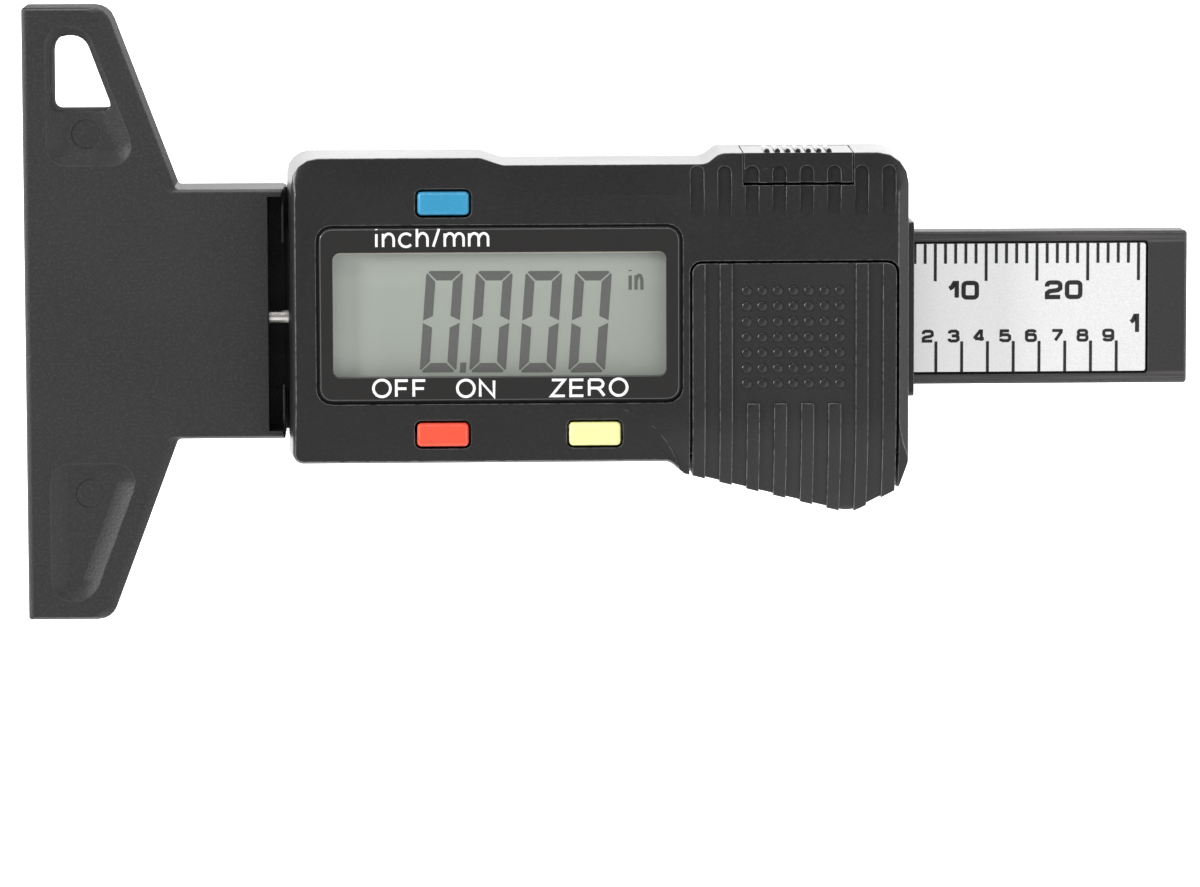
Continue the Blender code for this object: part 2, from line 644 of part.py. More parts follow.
def rear_frame(parent, finish):
    corners = housing_corners()
    bm = bmesh.new()
    edge = WALL + 0.00035
    inner = edge_insets(edge, edge, HOUSING_RIGHT - COVER_RIGHT + 0.00083 + GAP, edge)
    bevel = 0.0004
    joint = PARTING - 0.00015
    add_loft(bm, [(rounded(corners, FRAME_STEP + bevel), 0.0), (rounded(corners, FRAME_STEP), bevel),
                  (rounded(corners, FRAME_STEP), joint), (rounded(corners, inner), joint),
                  (rounded(corners, inner), RAIL_TOP)])
    item = new_object("rear_frame", bm, finish)
    combine(item, bar_collar(CHANNEL_LOW - OVER, PARTING - 0.0003), "UNION")
    channel = [(-CHANNEL_HALF, CHANNEL_LOW), (CHANNEL_HALF, CHANNEL_LOW), (CHANNEL_HALF, CHANNEL_HIGH),
               (-CHANNEL_HALF, CHANNEL_HIGH)]
    combine(item, prism_tool(channel, (0.0, BAR_END), "X"))
    side = BASE_NECK / 2 - 0.0003 + GAP
    pocket = rectangle((0.0, BASE_LENGTH + TONGUE + GAP), (-side, side), 0.001)
    combine(item, prism_tool(rounded(pocket), (-OVER, CHANNEL_LOW + 0.000001)))
    slot = (STOP_X - TRAVEL - STOP_RADIUS - GAP, STOP_X + STOP_RADIUS + GAP)
    half = STOP_RADIUS + GAP
    slot_loop = rounded(rectangle(slot, (-half, half), half - 0.00001))
    combine(item, prism_tool(slot_loop, (STOP_SLOT_LOW, CHANNEL_LOW + OVER)))
    combine(item, block_tool((SPRING_X[0] - GAP, SPRING_X[1] + GAP), (0.0, spring_back() + GAP),
                             (CHANNEL_LOW + 0.0003, DEEP)))
    combine(item, turned_tool(HOUSING_SCREWS, screw_bore(-OVER, DEEP)))
    head = screw_bore(-OVER, HEAD_SINK + SCREW_HEAD_THICK + GAP, SCREW_HEAD)
    combine(item, turned_tool(HOUSING_SCREWS, head))
    combine(item, turned_tool(BASE_SCREWS, screw_bore(0.0005, BASE_SCREW_TIP + GAP)))
    combine(item, turned_tool(BOARD_SCREWS, screw_bore(BOARD_SCREW_TIP - GAP, DEEP, BOARD_SCREW)))
    return finish_piece(item, (0, 0, 0), parent)


def bar_collar(low, high):
    """Half of the collar round the bar where it leaves the right end."""
    half = CHANNEL_HALF + COLLAR_WALL
    span = (HOUSING_RIGHT - FRAME_STEP - OVER, HOUSING_RIGHT + COLLAR)
    loop = rounded(rectangle((-half, half), (low, high), COLLAR_CORNER))
    return prism_tool(loop, span, "X")


def spring_back():
    return BAR_WIDTH / 2 + SLIDE_GAP + SPRING_BOW + SPRING_METAL


def slide_spring(parent, finish):
    """Bowed steel strip that takes up the play of the bar."""
    steps = 8
    inner = []
    outer = []
    for step in range(steps + 1):
        share = step / steps
        x = SPRING_X[0] + (SPRING_X[1] - SPRING_X[0]) * share
        y = spring_back() - SPRING_METAL - SPRING_BOW * math.sin(math.pi * share)
        inner.append((x, y))
        outer.append((x, y + SPRING_METAL))
    bm = bmesh.new()
    add_prism(bm, inner + outer[::-1], (CHANNEL_LOW + 0.0006, BAR_TOP - 0.0006))
    return finish_piece(new_object("slide_spring", bm, finish), (0, 0, 0), parent)


# Ruler bar and probe

def ruler_bar(parent, finish, origin):
    half = BAR_WIDTH / 2
    corners = rectangle((-half, half), (BAR_BOTTOM, BAR_TOP), BAR_CHAMFER)
    bm = bmesh.new()
    section = rounded(corners, steps=1)
    small = rounded(corners, EDGE_BREAK, steps=1)
    add_loft(bm, [(small, BAR_START), (section, BAR_START + EDGE_BREAK),
                  (section, BAR_END - EDGE_BREAK), (small, BAR_END)], "X")
    item = new_object("ruler_bar", bm, finish)
    reach = SCALE_WIDTH / 2 + GAP
    pocket = rectangle((SCALE_START - GAP, BAR_END - SCALE_MARGIN + GAP), (-reach, reach), 0.0003)
    floor = scale_low() - 2 * GAP - GRID_THICK
    combine(item, prism_tool(rounded(pocket, steps=2), (floor, DEEP)))
    bore = [(PIN_RADIUS + SLIDE_GAP, 0.0), (PIN_RADIUS + SLIDE_GAP, BAR_START + PIN_GRIP + GAP)]
    combine(item, turned_tool([(PIN_Y, PIN_Z)], bore, "X"))
    stop = screw_bore(0.0, floor - 0.0003, STOP_RADIUS - STOP_SHOULDER)
    combine(item, turned_tool([(STOP_X, 0.0)], stop))
    return finish_piece(item, origin, parent)


def scale_low():
    return BAR_TOP - SCALE_THICK - 0.00002


def scale_sheet(name, low, thick, room, parent, finish, origin):
    """Flat sheet in the pocket of the bar: the printed scale, or the sensor grid under it."""
    half = SCALE_WIDTH / 2 - room
    corners = rectangle((SCALE_START + room, BAR_END - SCALE_MARGIN - room), (-half, half), 0.0002)
    bm = bmesh.new()
    add_prism(bm, rounded(corners, steps=2), (low, low + thick))
    return finish_piece(new_object(name, bm, finish), origin, parent)


def probe_pin(parent, finish, origin):
    end = BAR_START + PIN_GRIP
    tip = PIN_RADIUS - EDGE_BREAK
    profile = [(tip, 0.0), (PIN_RADIUS, EDGE_BREAK), (PIN_RADIUS, end - EDGE_BREAK), (tip, end)]
    bm = bmesh.new()
    add_turned(bm, (PIN_Y, PIN_Z), profile, "X")
    return finish_piece(new_object("probe_pin", bm, finish), origin, parent)


def stop_screw(parent, finish, origin):
    """Screw under the bar whose head runs in a slot of the rear frame and ends the travel."""
    low = STOP_SLOT_LOW + GAP
    floor = scale_low() - 2 * GAP - GRID_THICK
    neck = BAR_BOTTOM - 0.0003
    thread = STOP_RADIUS - STOP_SHOULDER
    profile = [(STOP_RADIUS, low), (STOP_RADIUS, neck), (thread, neck), (thread, floor - 0.0003 - GAP)]
    bm = bmesh.new()
    add_turned(bm, (STOP_X, 0.0), profile)
    return finish_piece(new_object("stop_screw", bm, finish), origin, parent)


# Display

def window_low():
    return FRONT - WINDOW_SINK - WINDOW_THICK


def display_window(parent, finish):
    corners = rectangle((WINDOW_LEFT, WINDOW_RIGHT), (WINDOW_BOTTOM, WINDOW_TOP), WINDOW_CORNER)
    top = FRONT - WINDOW_SINK
    bm = bmesh.new()
    add_loft(bm, [(rounded(corners, GAP), window_low()), (rounded(corners, GAP), top - 0.00015),
                  (rounded(corners, GAP + 0.00015), top)])
    return finish_piece(new_object("display_window", bm, finish), (0, 0, 0), parent)


def glass_box(room):
    """Sides of the display glass, moved outwards by some room."""
    reach = DISPLAY_RIM + room
    return ((VIEW_LEFT - reach, VIEW_RIGHT + reach),
            (VIEW_BOTTOM - reach - 0.0009, VIEW_TOP + reach + 0.0003))


def lcd_module(parent, finish):
    x, y = glass_box(0.0)
    high = ROOF_LOW - GAP
    bm = bmesh.new()
    add_prism(bm, rounded(rectangle(x, y, 0.0003), steps=1), (high - DISPLAY_THICK, high))
    return finish_piece(new_object("lcd_module", bm, finish), (0, 0, 0), parent)


def lcd_holder(parent, finish):
    """Open frame that stands on the board and locates the display and its contact strips."""
    x, y = glass_box(GAP)
    outer = rounded(rectangle(x, y, 0.0004), -0.0006, steps=2)
    bm = bmesh.new()
    add_prism(bm, outer, (BOARD_HIGH + GAP, ROOF_LOW - GAP))
    item = new_object("lcd_holder", bm, finish)
    combine(item, block_tool(x, y, (0.0, DEEP)))
    return finish_piece(item, (0, 0, 0), parent)


def contact_strips(parent, finish):
    """Two conductive rubber strips between the board and the display glass."""
    x, y = glass_box(0.0)
    low = BOARD_HIGH + GAP
    high = ROOF_LOW - GAP - DISPLAY_THICK - GAP
    for name, edge in (("lower", (y[0] + 0.0003, y[0] + 0.0016)), ("upper", (y[1] - 0.0016, y[1] - 0.0003))):
        bm = bmesh.new()
        add_block(bm, (x[0] + STRIP_INSET, x[1] - STRIP_INSET), edge, (low, high))
        finish_piece(new_object(f"contact_strip_{name}", bm, finish), (0, 0, 0), parent)


# Keys

def key(name, centre, parent, finish):
    """Moulded key: a cap in the face, a flange behind it and a stem to its switch."""
    corners = key_corners(centre)
    top = FRONT + KEY_PROUD
    flange_high = ROOF_LOW - 2 * GAP
    neck = rounded(corners)
    bm = bmesh.new()
    add_loft(bm, [(neck, flange_high - 0.0004), (neck, top - EDGE_BREAK),
                  (rounded(corners, EDGE_BREAK), top)])
    item = new_object(name, bm, finish)
    sides = [-KEY_FLANGE / 5, -KEY_FLANGE] * 2
    wide = prism_tool(rounded(corners, sides), (flange_high - 0.0007, flange_high))
    combine(item, wide, "UNION")
    stem = [(0.0009, BOARD_HIGH + GAP + SWITCH_HEIGHT + KEY_TRAVEL + GAP), (0.0009, flange_high - 0.0003)]
    combine(item, turned_tool([centre], stem, steps=12), "UNION")
    return finish_piece(item, (centre[0], centre[1], top), parent)


def key_switch(name, centre, parent, finish):
    low = BOARD_HIGH + GAP
    bm = bmesh.new()
    (x, y), (half_x, half_y) = centre, SWITCH_HALF
    body = rectangle((x - half_x, x + half_x), (y - half_y, y + half_y), 0.0003)
    loop = rounded(body, steps=2)
    add_loft(bm, [(loop, low), (loop, low + SWITCH_HEIGHT - EDGE_BREAK),
                  (rounded(body, 0.0005, steps=2), low + SWITCH_HEIGHT)])
    return finish_piece(new_object(name, bm, finish), (0, 0, 0), parent)


# Battery and its cover

def rib_gap_tool():
    """Gaps between the ribs of the battery cover and the sunk field in its middle."""
    first = COVER_LEFT + RIB_WIDTH / 2
    gaps = []
    for index in range(RIB_COUNT - 1):
        left = first + RIB_PITCH * index + RIB_WIDTH / 2
        gaps.append((left, left + RIB_PITCH - RIB_WIDTH))
    bm = bmesh.new()
    for left, right in (gaps[0], gaps[-1]):
        add_block(bm, (left, right), (-DEEP, DEEP), (0.0, DEEP))
    comb = []
    for left, right in gaps[1:-1]:
        comb += [(left, THUMB_RIBS_TOP), (left, -DEEP), (right, -DEEP), (right, THUMB_RIBS_TOP)]
    comb[0] = (gaps[1][0], DEEP)
    comb[-1] = (gaps[-2][1], DEEP)
    add_prism(bm, comb, (0.0, DEEP))
    gap_form = tool(bm)
    return combine(gap_form, housing_tool(RIB_SIDE, RIB_RELIEF, COVER_FOOT - OVER))


def battery_cover(parent, finish):
    bm = bmesh.new()
    add_housing_form(bm)
    item = new_object("battery_cover", bm, finish)
    combine(item, ramp_tool())
    combine(item, prism_tool(rounded(bay_corners()), (0.0, DEEP)), "INTERSECT")
    combine(item, rib_gap_tool())
    inner = [(COVER_LEFT + 0.00083, -DEEP, SHARP), (COVER_RIGHT - 0.0008, -DEEP, SHARP),
             (COVER_RIGHT - 0.0008, DEEP, SHARP), (COVER_LEFT + 0.00083, DEEP, SHARP)]
    hollow = prism_tool(rounded(inner, steps=1), (0.0, FRONT - COVER_PLATE))
    combine(item, combine(hollow, housing_tool(COVER_WALL, COVER_PLATE, 0.0), "INTERSECT"))
    skirt = HOUSING_BOTTOM + 0.00005
    combine(item, block_tool((0.0, BAR_END), (skirt, DEEP), (0.0, RAIL_LOW)))
    rails = (COVER_LEFT - RAIL_REACH, COVER_RIGHT + RAIL_REACH - 0.00015)
    for x in ((rails[0], COVER_LEFT + 0.0004), (COVER_RIGHT - 0.0004, rails[1])):
        rail = block_tool(x, (skirt + 0.0005, COVER_TOP - 0.0012), (RAIL_LOW, RAIL_LOW + RAIL_THICK))
        combine(item, rail, "UNION")
    return finish_piece(item, (COVER_LEFT, COVER_TOP, FRONT), parent)


def battery(parent, finish):
    high = CELL_LOW + CELL_HEIGHT
    profile = [(CELL_RADIUS - 0.0014, CELL_LOW), (CELL_RADIUS - 0.0012, CELL_LOW + 0.0004),
               (CELL_RADIUS, CELL_LOW + 0.0006), (CELL_RADIUS, high - EDGE_BREAK),
               (CELL_RADIUS - EDGE_BREAK, high)]
    bm = bmesh.new()
    add_turned(bm, (CELL_X, CELL_Y), profile, steps=32)
    return finish_piece(new_object("battery", bm, finish), (0, 0, 0), parent)


def negative_contact(parent, finish):
    low = BOARD_HIGH + GAP
    half = NEGATIVE_HALF
    strip = rectangle((CELL_X - half, CELL_X + CELL_RADIUS + 0.0016), (CELL_Y - half, CELL_Y + half), 0.0012)
    bm = bmesh.new()
    add_prism(bm, rounded(strip, steps=3), (low, low + STRIP_METAL))
    return finish_piece(new_object("negative_contact", bm, finish), (0, 0, 0), parent)


def positive_contact(parent, finish):
    """Bent strip that stands on the board and touches the side of the cell."""
    low = BOARD_HIGH + GAP
    side = CELL_X - CELL_RADIUS - GAP
    bend = [(low, side - 0.0022), (low, side), (FRONT - COVER_PLATE - 0.0012, side),
            (FRONT - COVER_PLATE - 0.0012, side - STRIP_METAL), (low + STRIP_METAL, side - STRIP_METAL),
            (low + STRIP_METAL, side - 0.0022)]
    bm = bmesh.new()
    add_prism(bm, bend, (CELL_Y - 0.0018, CELL_Y + 0.0018), "Y")
    return finish_piece(new_object("positive_contact", bm, finish), (0, 0, 0), parent)


# Circuit board and data port

def circuit_board(parent, finish):
    x = (HOUSING_LEFT + WALL + GAP, HOUSING_RIGHT - WALL - GAP - 0.0001)
    half = BOARD_HALF_WIDTH
    bm = bmesh.new()
    add_prism(bm, rounded(rectangle(x, (-half, half), 0.0008), steps=2), (BOARD_LOW, BOARD_HIGH))
    item = new_object("circuit_board", bm, finish)
    notch = [(BOSS_RADIUS + GAP, 0.0), (BOSS_RADIUS + GAP, DEEP)]
    combine(item, turned_tool(HOUSING_SCREWS, notch))
    combine(item, turned_tool(BOARD_SCREWS, [(BOARD_SCREW + GAP, 0.0), (BOARD_SCREW + GAP, DEEP)]))
    return finish_piece(item, (0, 0, 0), parent)


def board_screws(parent, finish):
    low = BOARD_HIGH + GAP
    profile = [(BOARD_SCREW * 0.4, BOARD_SCREW_TIP), (BOARD_SCREW, BOARD_SCREW_TIP + 0.0005),
               (BOARD_SCREW, low), (0.0012, low), (0.0012, low + 0.0006), (0.0009, low + 0.0008)]
    screws("board_screw", BOARD_SCREWS, profile, parent, finish)


def control_chip(parent, finish):
    low = BOARD_HIGH + GAP
    corners = rectangle(CHIP_X, CHIP_Y, 0.0005)
    bm = bmesh.new()
    add_loft(bm, [(rounded(corners, steps=1), low), (rounded(corners, EDGE_BREAK, steps=1), low + 0.0011)])
    return finish_piece(new_object("control_chip", bm, finish), (0, 0, 0), parent)


def port_contacts(parent, finish):
    low = BOARD_HIGH + GAP
    for index in range(4):
        x = PORT_MIDDLE + (index - 1.5) * 0.0018
        bm = bmesh.new()
        add_block(bm, (x - 0.00045, x + 0.00045), (BOARD_HALF_WIDTH - 0.0024, BOARD_HALF_WIDTH - EDGE_BREAK),
                  (low, low + STRIP_METAL))
        finish_piece(new_object(f"port_contact_{index + 1}", bm, finish), (0, 0, 0), parent)


def port_cover(parent, finish):
    bm = bmesh.new()
    add_housing_form(bm)
    item = new_object("port_cover", bm, finish)
    combine(item, port_block(), "INTERSECT")
    combine(item, flute_tool())
    inner = GRIP_TOP - WALL
    combine(item, block_tool((PORT_LEFT - OVER, PORT_RIGHT + OVER), (0.0, inner), (0.0, FRONT - WALL)))
    plug = block_tool((PORT_LEFT + OVER, PORT_RIGHT - OVER), (BOARD_HALF_WIDTH + GAP, inner + 0.0005),
                      (PORT_FOOT + 0.0006, PORT_FOOT + 0.0026))
    combine(item, plug, "UNION")
    centres = []
    for index in range(PORT_RIBS):
        centres.append((PORT_MIDDLE + (index - (PORT_RIBS - 1) / 2) * PORT_RIB_PITCH, GRIP_TOP + 0.0001))
    rib = [(PORT_RIB_RADIUS, PORT_FOOT + 0.0008), (PORT_RIB_RADIUS, FRONT - 0.0012)]
    combine(item, turned_tool(centres, rib, steps=8), "UNION")
    return finish_piece(item, (PORT_MIDDLE, GRIP_TOP, FRONT), parent)


def empty(name, place, parent=None):
    item = bpy.data.objects.new(name, None)
    bpy.context.scene.collection.objects.link(item)
    item.location = place
    item.parent = parent
    return item


def build():
    clear_scene()
    black = material("moulded_black", (0.045, 0.045, 0.047), 0.45)
    fixed = empty("gauge", (-BAR_END / 2, 0.0, 0.0))
    measuring_base(fixed, material("base_plastic", (0.05, 0.05, 0.05), 0.6))
    screws("base_screw", BASE_SCREWS, screw_profile(HEAD_SINK, BASE_SCREW_TIP), fixed,
           material("zinc_screw", (0.5, 0.5, 0.5), 0.35, 1.0))
    rear_frame(fixed, material("rear_plastic", (0.04, 0.04, 0.042), 0.5))
    front_cover(fixed, black)
    screws("housing_screw", HOUSING_SCREWS, screw_profile(HEAD_SINK, ROOF_LOW - SCREW_END), fixed,
           material("black_screw", (0.08, 0.08, 0.08), 0.4, 1.0))
    slide_spring(fixed, material("spring_steel", (0.6, 0.6, 0.6), 0.3, 1.0))
    display_window(fixed, material("window_acrylic", (0.02, 0.02, 0.02), 0.08, 0.0, 0.6))
    lcd_module(fixed, material("lcd_glass", (0.36, 0.41, 0.35), 0.25))
    lcd_holder(fixed, material("holder_plastic", (0.6, 0.6, 0.58), 0.5))
    contact_strips(fixed, material("strip_rubber", (0.3, 0.08, 0.07), 0.8))
    circuit_board(fixed, material("board_laminate", (0.02, 0.16, 0.06), 0.4))
    board_screws(fixed, material("board_screw_steel", (0.55, 0.55, 0.55), 0.35, 1.0))
    control_chip(fixed, material("chip_epoxy", (0.02, 0.02, 0.02), 0.5))
    port_contacts(fixed, material("gold_contact", (0.8, 0.6, 0.25), 0.3, 1.0))
    battery(fixed, material("cell_steel", (0.65, 0.65, 0.63), 0.25, 1.0))
    negative_contact(fixed, material("negative_nickel", (0.6, 0.6, 0.55), 0.3, 1.0))
    positive_contact(fixed, material("positive_nickel", (0.62, 0.6, 0.55), 0.3, 1.0))
    for name, centre in (("unit", UNIT_KEY), ("power", POWER_KEY), ("zero", ZERO_KEY)):
        key_switch(name + "_switch", centre, fixed, material(name + "_switch_shell", (0.4, 0.4, 0.4), 0.4))
    key("unit_button", UNIT_KEY, fixed, material("blue_key", (0.04, 0.41, 0.72), 0.4))
    key("power_button", POWER_KEY, fixed, material("red_key", (0.9, 0.1, 0.08), 0.4))
    key("zero_button", ZERO_KEY, fixed, material("yellow_key", (0.95, 0.9, 0.35), 0.4))
    battery_cover(fixed, material("battery_cover_plastic", (0.045, 0.045, 0.045), 0.5))
    port_cover(fixed, material("port_cover_plastic", (0.045, 0.045, 0.045), 0.5))
    axis = (0.0, PIN_Y, PIN_Z)
    slider = empty("ruler_slide", axis, fixed)
    ruler_bar(slider, material("bar_plastic", (0.05, 0.05, 0.05), 0.55), axis)
    scale_sheet("scale_plate", scale_low(), SCALE_THICK, 0.0, slider,
                material("scale_silver", (0.75, 0.75, 0.75), 0.4, 0.3), axis)
    scale_sheet("scale_grid", scale_low() - GAP - GRID_THICK, GRID_THICK, GRID_MARGIN, slider,
                material("grid_copper", (0.7, 0.4, 0.2), 0.4, 1.0), axis)
    probe_pin(slider, material("pin_steel", (0.75, 0.75, 0.75), 0.2, 1.0), axis)
    stop_screw(slider, material("stop_steel", (0.5, 0.5, 0.5), 0.35, 1.0), axis)
    for item in list(bpy.data.objects):
        if item.hide_render:
            bpy.data.objects.remove(item, do_unlink=True)


build()
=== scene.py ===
# %% [markdown]
# # A digital tread depth gauge
# The gauge measures how deep the grooves of a tyre still are. A black T-shaped base stands on
# the tread, and a steel pin slides out of it into the groove. A display shows how far it went.
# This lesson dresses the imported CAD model: it keeps every size and joint, and adds the finishes,
# the print, the display's digits, the softened edges and the small raised shapes.

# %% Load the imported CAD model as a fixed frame
import math

import bmesh
import bpy
from mathutils import Matrix, Vector


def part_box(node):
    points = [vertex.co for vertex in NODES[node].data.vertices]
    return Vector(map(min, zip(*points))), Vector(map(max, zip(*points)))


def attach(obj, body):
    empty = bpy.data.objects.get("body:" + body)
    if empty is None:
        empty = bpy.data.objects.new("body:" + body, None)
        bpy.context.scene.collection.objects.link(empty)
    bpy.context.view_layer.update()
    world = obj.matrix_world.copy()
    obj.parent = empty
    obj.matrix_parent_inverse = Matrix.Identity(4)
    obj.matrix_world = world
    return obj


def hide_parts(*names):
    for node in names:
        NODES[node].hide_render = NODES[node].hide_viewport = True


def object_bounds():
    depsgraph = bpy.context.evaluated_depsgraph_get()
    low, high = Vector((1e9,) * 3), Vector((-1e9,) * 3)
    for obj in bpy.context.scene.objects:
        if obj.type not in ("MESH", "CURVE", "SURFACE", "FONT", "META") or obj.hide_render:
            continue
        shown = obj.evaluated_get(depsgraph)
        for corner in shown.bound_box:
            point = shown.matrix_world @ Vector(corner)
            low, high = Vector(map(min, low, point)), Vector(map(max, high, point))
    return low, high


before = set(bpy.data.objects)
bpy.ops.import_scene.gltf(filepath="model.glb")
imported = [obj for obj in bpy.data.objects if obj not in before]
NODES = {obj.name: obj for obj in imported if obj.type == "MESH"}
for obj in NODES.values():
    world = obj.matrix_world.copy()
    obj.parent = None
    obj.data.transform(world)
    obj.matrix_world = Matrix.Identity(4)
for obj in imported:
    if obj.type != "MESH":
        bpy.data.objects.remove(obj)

cad_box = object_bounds()
FACE_X = cad_box[0].x
print("CAD nodes:", len(NODES), "box in mm:", [round(side * 1000, 1) for side in cad_box[1] - cad_box[0]])

# %% [markdown]
# ## Objects in the scene
# Blender keeps data, such as a mesh, a lens or a lamp, apart from the object that shows it, and an
# object is seen only when a collection holds it. One helper does both steps for everything below.

# %% Helper for new objects
def new_object(name, data):
    item = bpy.data.objects.new(name, data)
    bpy.context.scene.collection.objects.link(item)
    return item


print("object helper ready")

# %% [markdown]
# ## The camera
# The photograph was taken from almost straight above, from 60 cm, with the lens aimed a little
# below the middle of the gauge. The camera's own axes are worked out from three small angles, and
# the lens from the number of pixels that one metre at one metre's distance covers. A matrix with
# these axes as its columns places the camera in one step, which is clearer than three turns.

# %% Camera at the photograph's view
PHOTO_WIDTH = 1200
LENS_PIXELS = 6108.8
SENSOR_MM = 36.0
DISTANCE = 0.600
NEAREST = 0.01
TILT = math.radians(6.3)
SWING = math.radians(2.0)
ROLL = math.radians(-0.175)
AIM = Vector((FACE_X + 0.056049, -0.013149, 0.0066))

back = Vector((-math.sin(SWING), math.sin(TILT) * math.cos(SWING), math.cos(TILT) * math.cos(SWING)))
back.normalize()
level = Vector((0, 1, 0)).cross(back).normalized()
upright = back.cross(level)
right = level * math.cos(ROLL) + upright * math.sin(ROLL)
up = upright * math.cos(ROLL) - level * math.sin(ROLL)
lens = bpy.data.cameras.new("photo_lens")
lens.sensor_width = SENSOR_MM
lens.lens = LENS_PIXELS / PHOTO_WIDTH * SENSOR_MM
lens.clip_start = NEAREST
camera = new_object("photo_camera", lens)
turned = Matrix((right, up, back)).transposed().to_4x4()
camera.matrix_world = Matrix.Translation(AIM + back * DISTANCE) @ turned
bpy.context.scene.camera = camera
print("lens in mm:", round(lens.lens, 1))

# %% [markdown]
# ## Writing node trees as Python
# A pattern is a sum of small steps, and a Math node for each is slow to read. The first class
# wraps a socket, so that an expression such as 1 - mask * 0.5 adds its Math nodes by itself.
# Every other node comes from one method of the second class, which takes the node's type, its
# settings and the values or links of its sockets. Materials, geometry and the room all use it.

# %% A socket that can be used in sums
def methods_for(operation):
    """The methods of an operator, for a wire on its left and for one on its right."""
    def forward(self, other):
        return self.math(operation, self, other)

    def reflected(self, other):
        return self.math(operation, other, self)

    return forward, reflected


class Wire:
    """A socket of a node tree."""

    def __init__(self, trunk, socket):
        self.trunk = trunk
        self.socket = socket

    def math(self, operation, *values):
        return self.trunk.node("ShaderNodeMath", {"operation": operation}, dict(enumerate(values)))

    __add__, __radd__ = methods_for("ADD")
    __sub__, __rsub__ = methods_for("SUBTRACT")
    __mul__, __rmul__ = methods_for("MULTIPLY")
    __truediv__, __rtruediv__ = methods_for("DIVIDE")
    __pow__, __rpow__ = methods_for("POWER")
    __mod__, __rmod__ = methods_for("MODULO")

    def __gt__(self, other):
        return self.math("GREATER_THAN", self, other)

    def __lt__(self, other):
        return self.math("LESS_THAN", self, other)

    def __abs__(self):
        return self.math("ABSOLUTE", self)

    def above(self, low):
        return self.math("MAXIMUM", self, low)

    def rise(self, low, high):
        """0 under low, 1 over high, with a soft step between them."""
        return self.trunk.node("ShaderNodeMapRange", {"interpolation_type": "SMOOTHSTEP"},
                               {"Value": self, "From Min": low, "From Max": high})


print("socket helper ready")


# %% A node tree that is built node by node
class NodeTree:
    """A node tree, whose nodes are added by their type, settings and inputs."""

    def __init__(self, tree):
        self.tree = tree

    def plug(self, socket, value):
        """Sets a socket, or links it to a wire or to each wire of a list."""
        for part in value if isinstance(value, list) else [value]:
            if isinstance(part, Wire):
                self.tree.links.new(part.socket, socket)
            else:
                socket.default_value = part

    def node(self, kind, settings=None, inputs=None, output=0):
        """One output of a new node."""
        made = self.tree.nodes.new(kind)
        for name, value in (settings or {}).items():
            if name == "stops":
                for stop in range(2, len(value)):
                    made.color_ramp.elements.new(stop / len(value))
                for element, (place, shade) in zip(made.color_ramp.elements, value):
                    element.position = place
                    element.color = (*shade, 1.0)
            else:
                setattr(made, name, value)
        for name, value in (inputs or {}).items():
            self.plug(made.inputs[name], value)
        return Wire(self, made.outputs[output])

    def vector(self, x=0.0, y=0.0, z=0.0):
        return self.node("ShaderNodeCombineXYZ", inputs={"X": x, "Y": y, "Z": z})

    def axes(self, vector):
        """The x, y and z of a vector."""
        parts = self.tree.nodes.new("ShaderNodeSeparateXYZ")
        self.plug(parts.inputs[0], vector)
        return [Wire(self, output) for output in parts.outputs]


print("node tree helper ready")


# %% A material
def grey(level):
    return (level, level, level)


class Paint(NodeTree):
    """A material with a Principled shader, and the nodes that feed it."""

    def __init__(self, name, colour, roughness, metallic=0.0):
        self.material = bpy.data.materials.new(name)
        self.material.use_nodes = True
        super().__init__(self.material.node_tree)
        self.shader = self.tree.nodes["Principled BSDF"]
        self.feed({"Base Color": (*colour, 1.0), "Roughness": roughness, "Metallic": metallic})
        self.material.diffuse_color = (*colour, 1.0)

    def feed(self, inputs):
        for name, value in inputs.items():
            self.plug(self.shader.inputs[name], value)

    def place(self, centre=(0.0, 0.0, 0.0), scale=(1.0, 1.0, 1.0)):
        """Object coordinates, centred on a point and stretched."""
        where = self.node("ShaderNodeTexCoord", output="Object")
        offset = tuple(-middle * stretch for middle, stretch in zip(centre, scale))
        return self.node("ShaderNodeMapping", inputs={"Vector": where, "Location": offset, "Scale": scale})

    def noise(self, vector, scale, detail=2.0, roughness=0.5):
        """Noise with a number of features per metre."""
        sizes = {"Scale": scale, "Detail": detail, "Roughness": roughness}
        return self.node("ShaderNodeTexNoise", inputs={"Vector": vector, **sizes})

    def rub(self):
        """1 on the rounded edges, which a later cell marks with an attribute, and 0 elsewhere. The shaders
        paint wear and a highlight there.
        """
        return self.node("ShaderNodeAttribute", {"attribute_name": "rub"}, output="Fac")

    def mix(self, share, first, second):
        """Two colours mixed by a share."""
        made = self.tree.nodes.new("ShaderNodeMix")
        made.data_type = "RGBA"
        for name, value in (("Factor_Float", share), ("A_Color", first), ("B_Color", second)):
            socket = next(item for item in made.inputs if item.identifier == name)
            self.plug(socket, value if isinstance(value, Wire) or name == "Factor_Float" else (*value, 1.0))
        return Wire(self, next(item for item in made.outputs if item.identifier == "Result_Color"))

    def bump(self, height, depth, strength):
        """Fine relief."""
        sizes = {"Height": height, "Distance": depth, "Strength": strength}
        self.feed({"Normal": self.node("ShaderNodeBump", inputs=sizes)})


print("material helper ready")
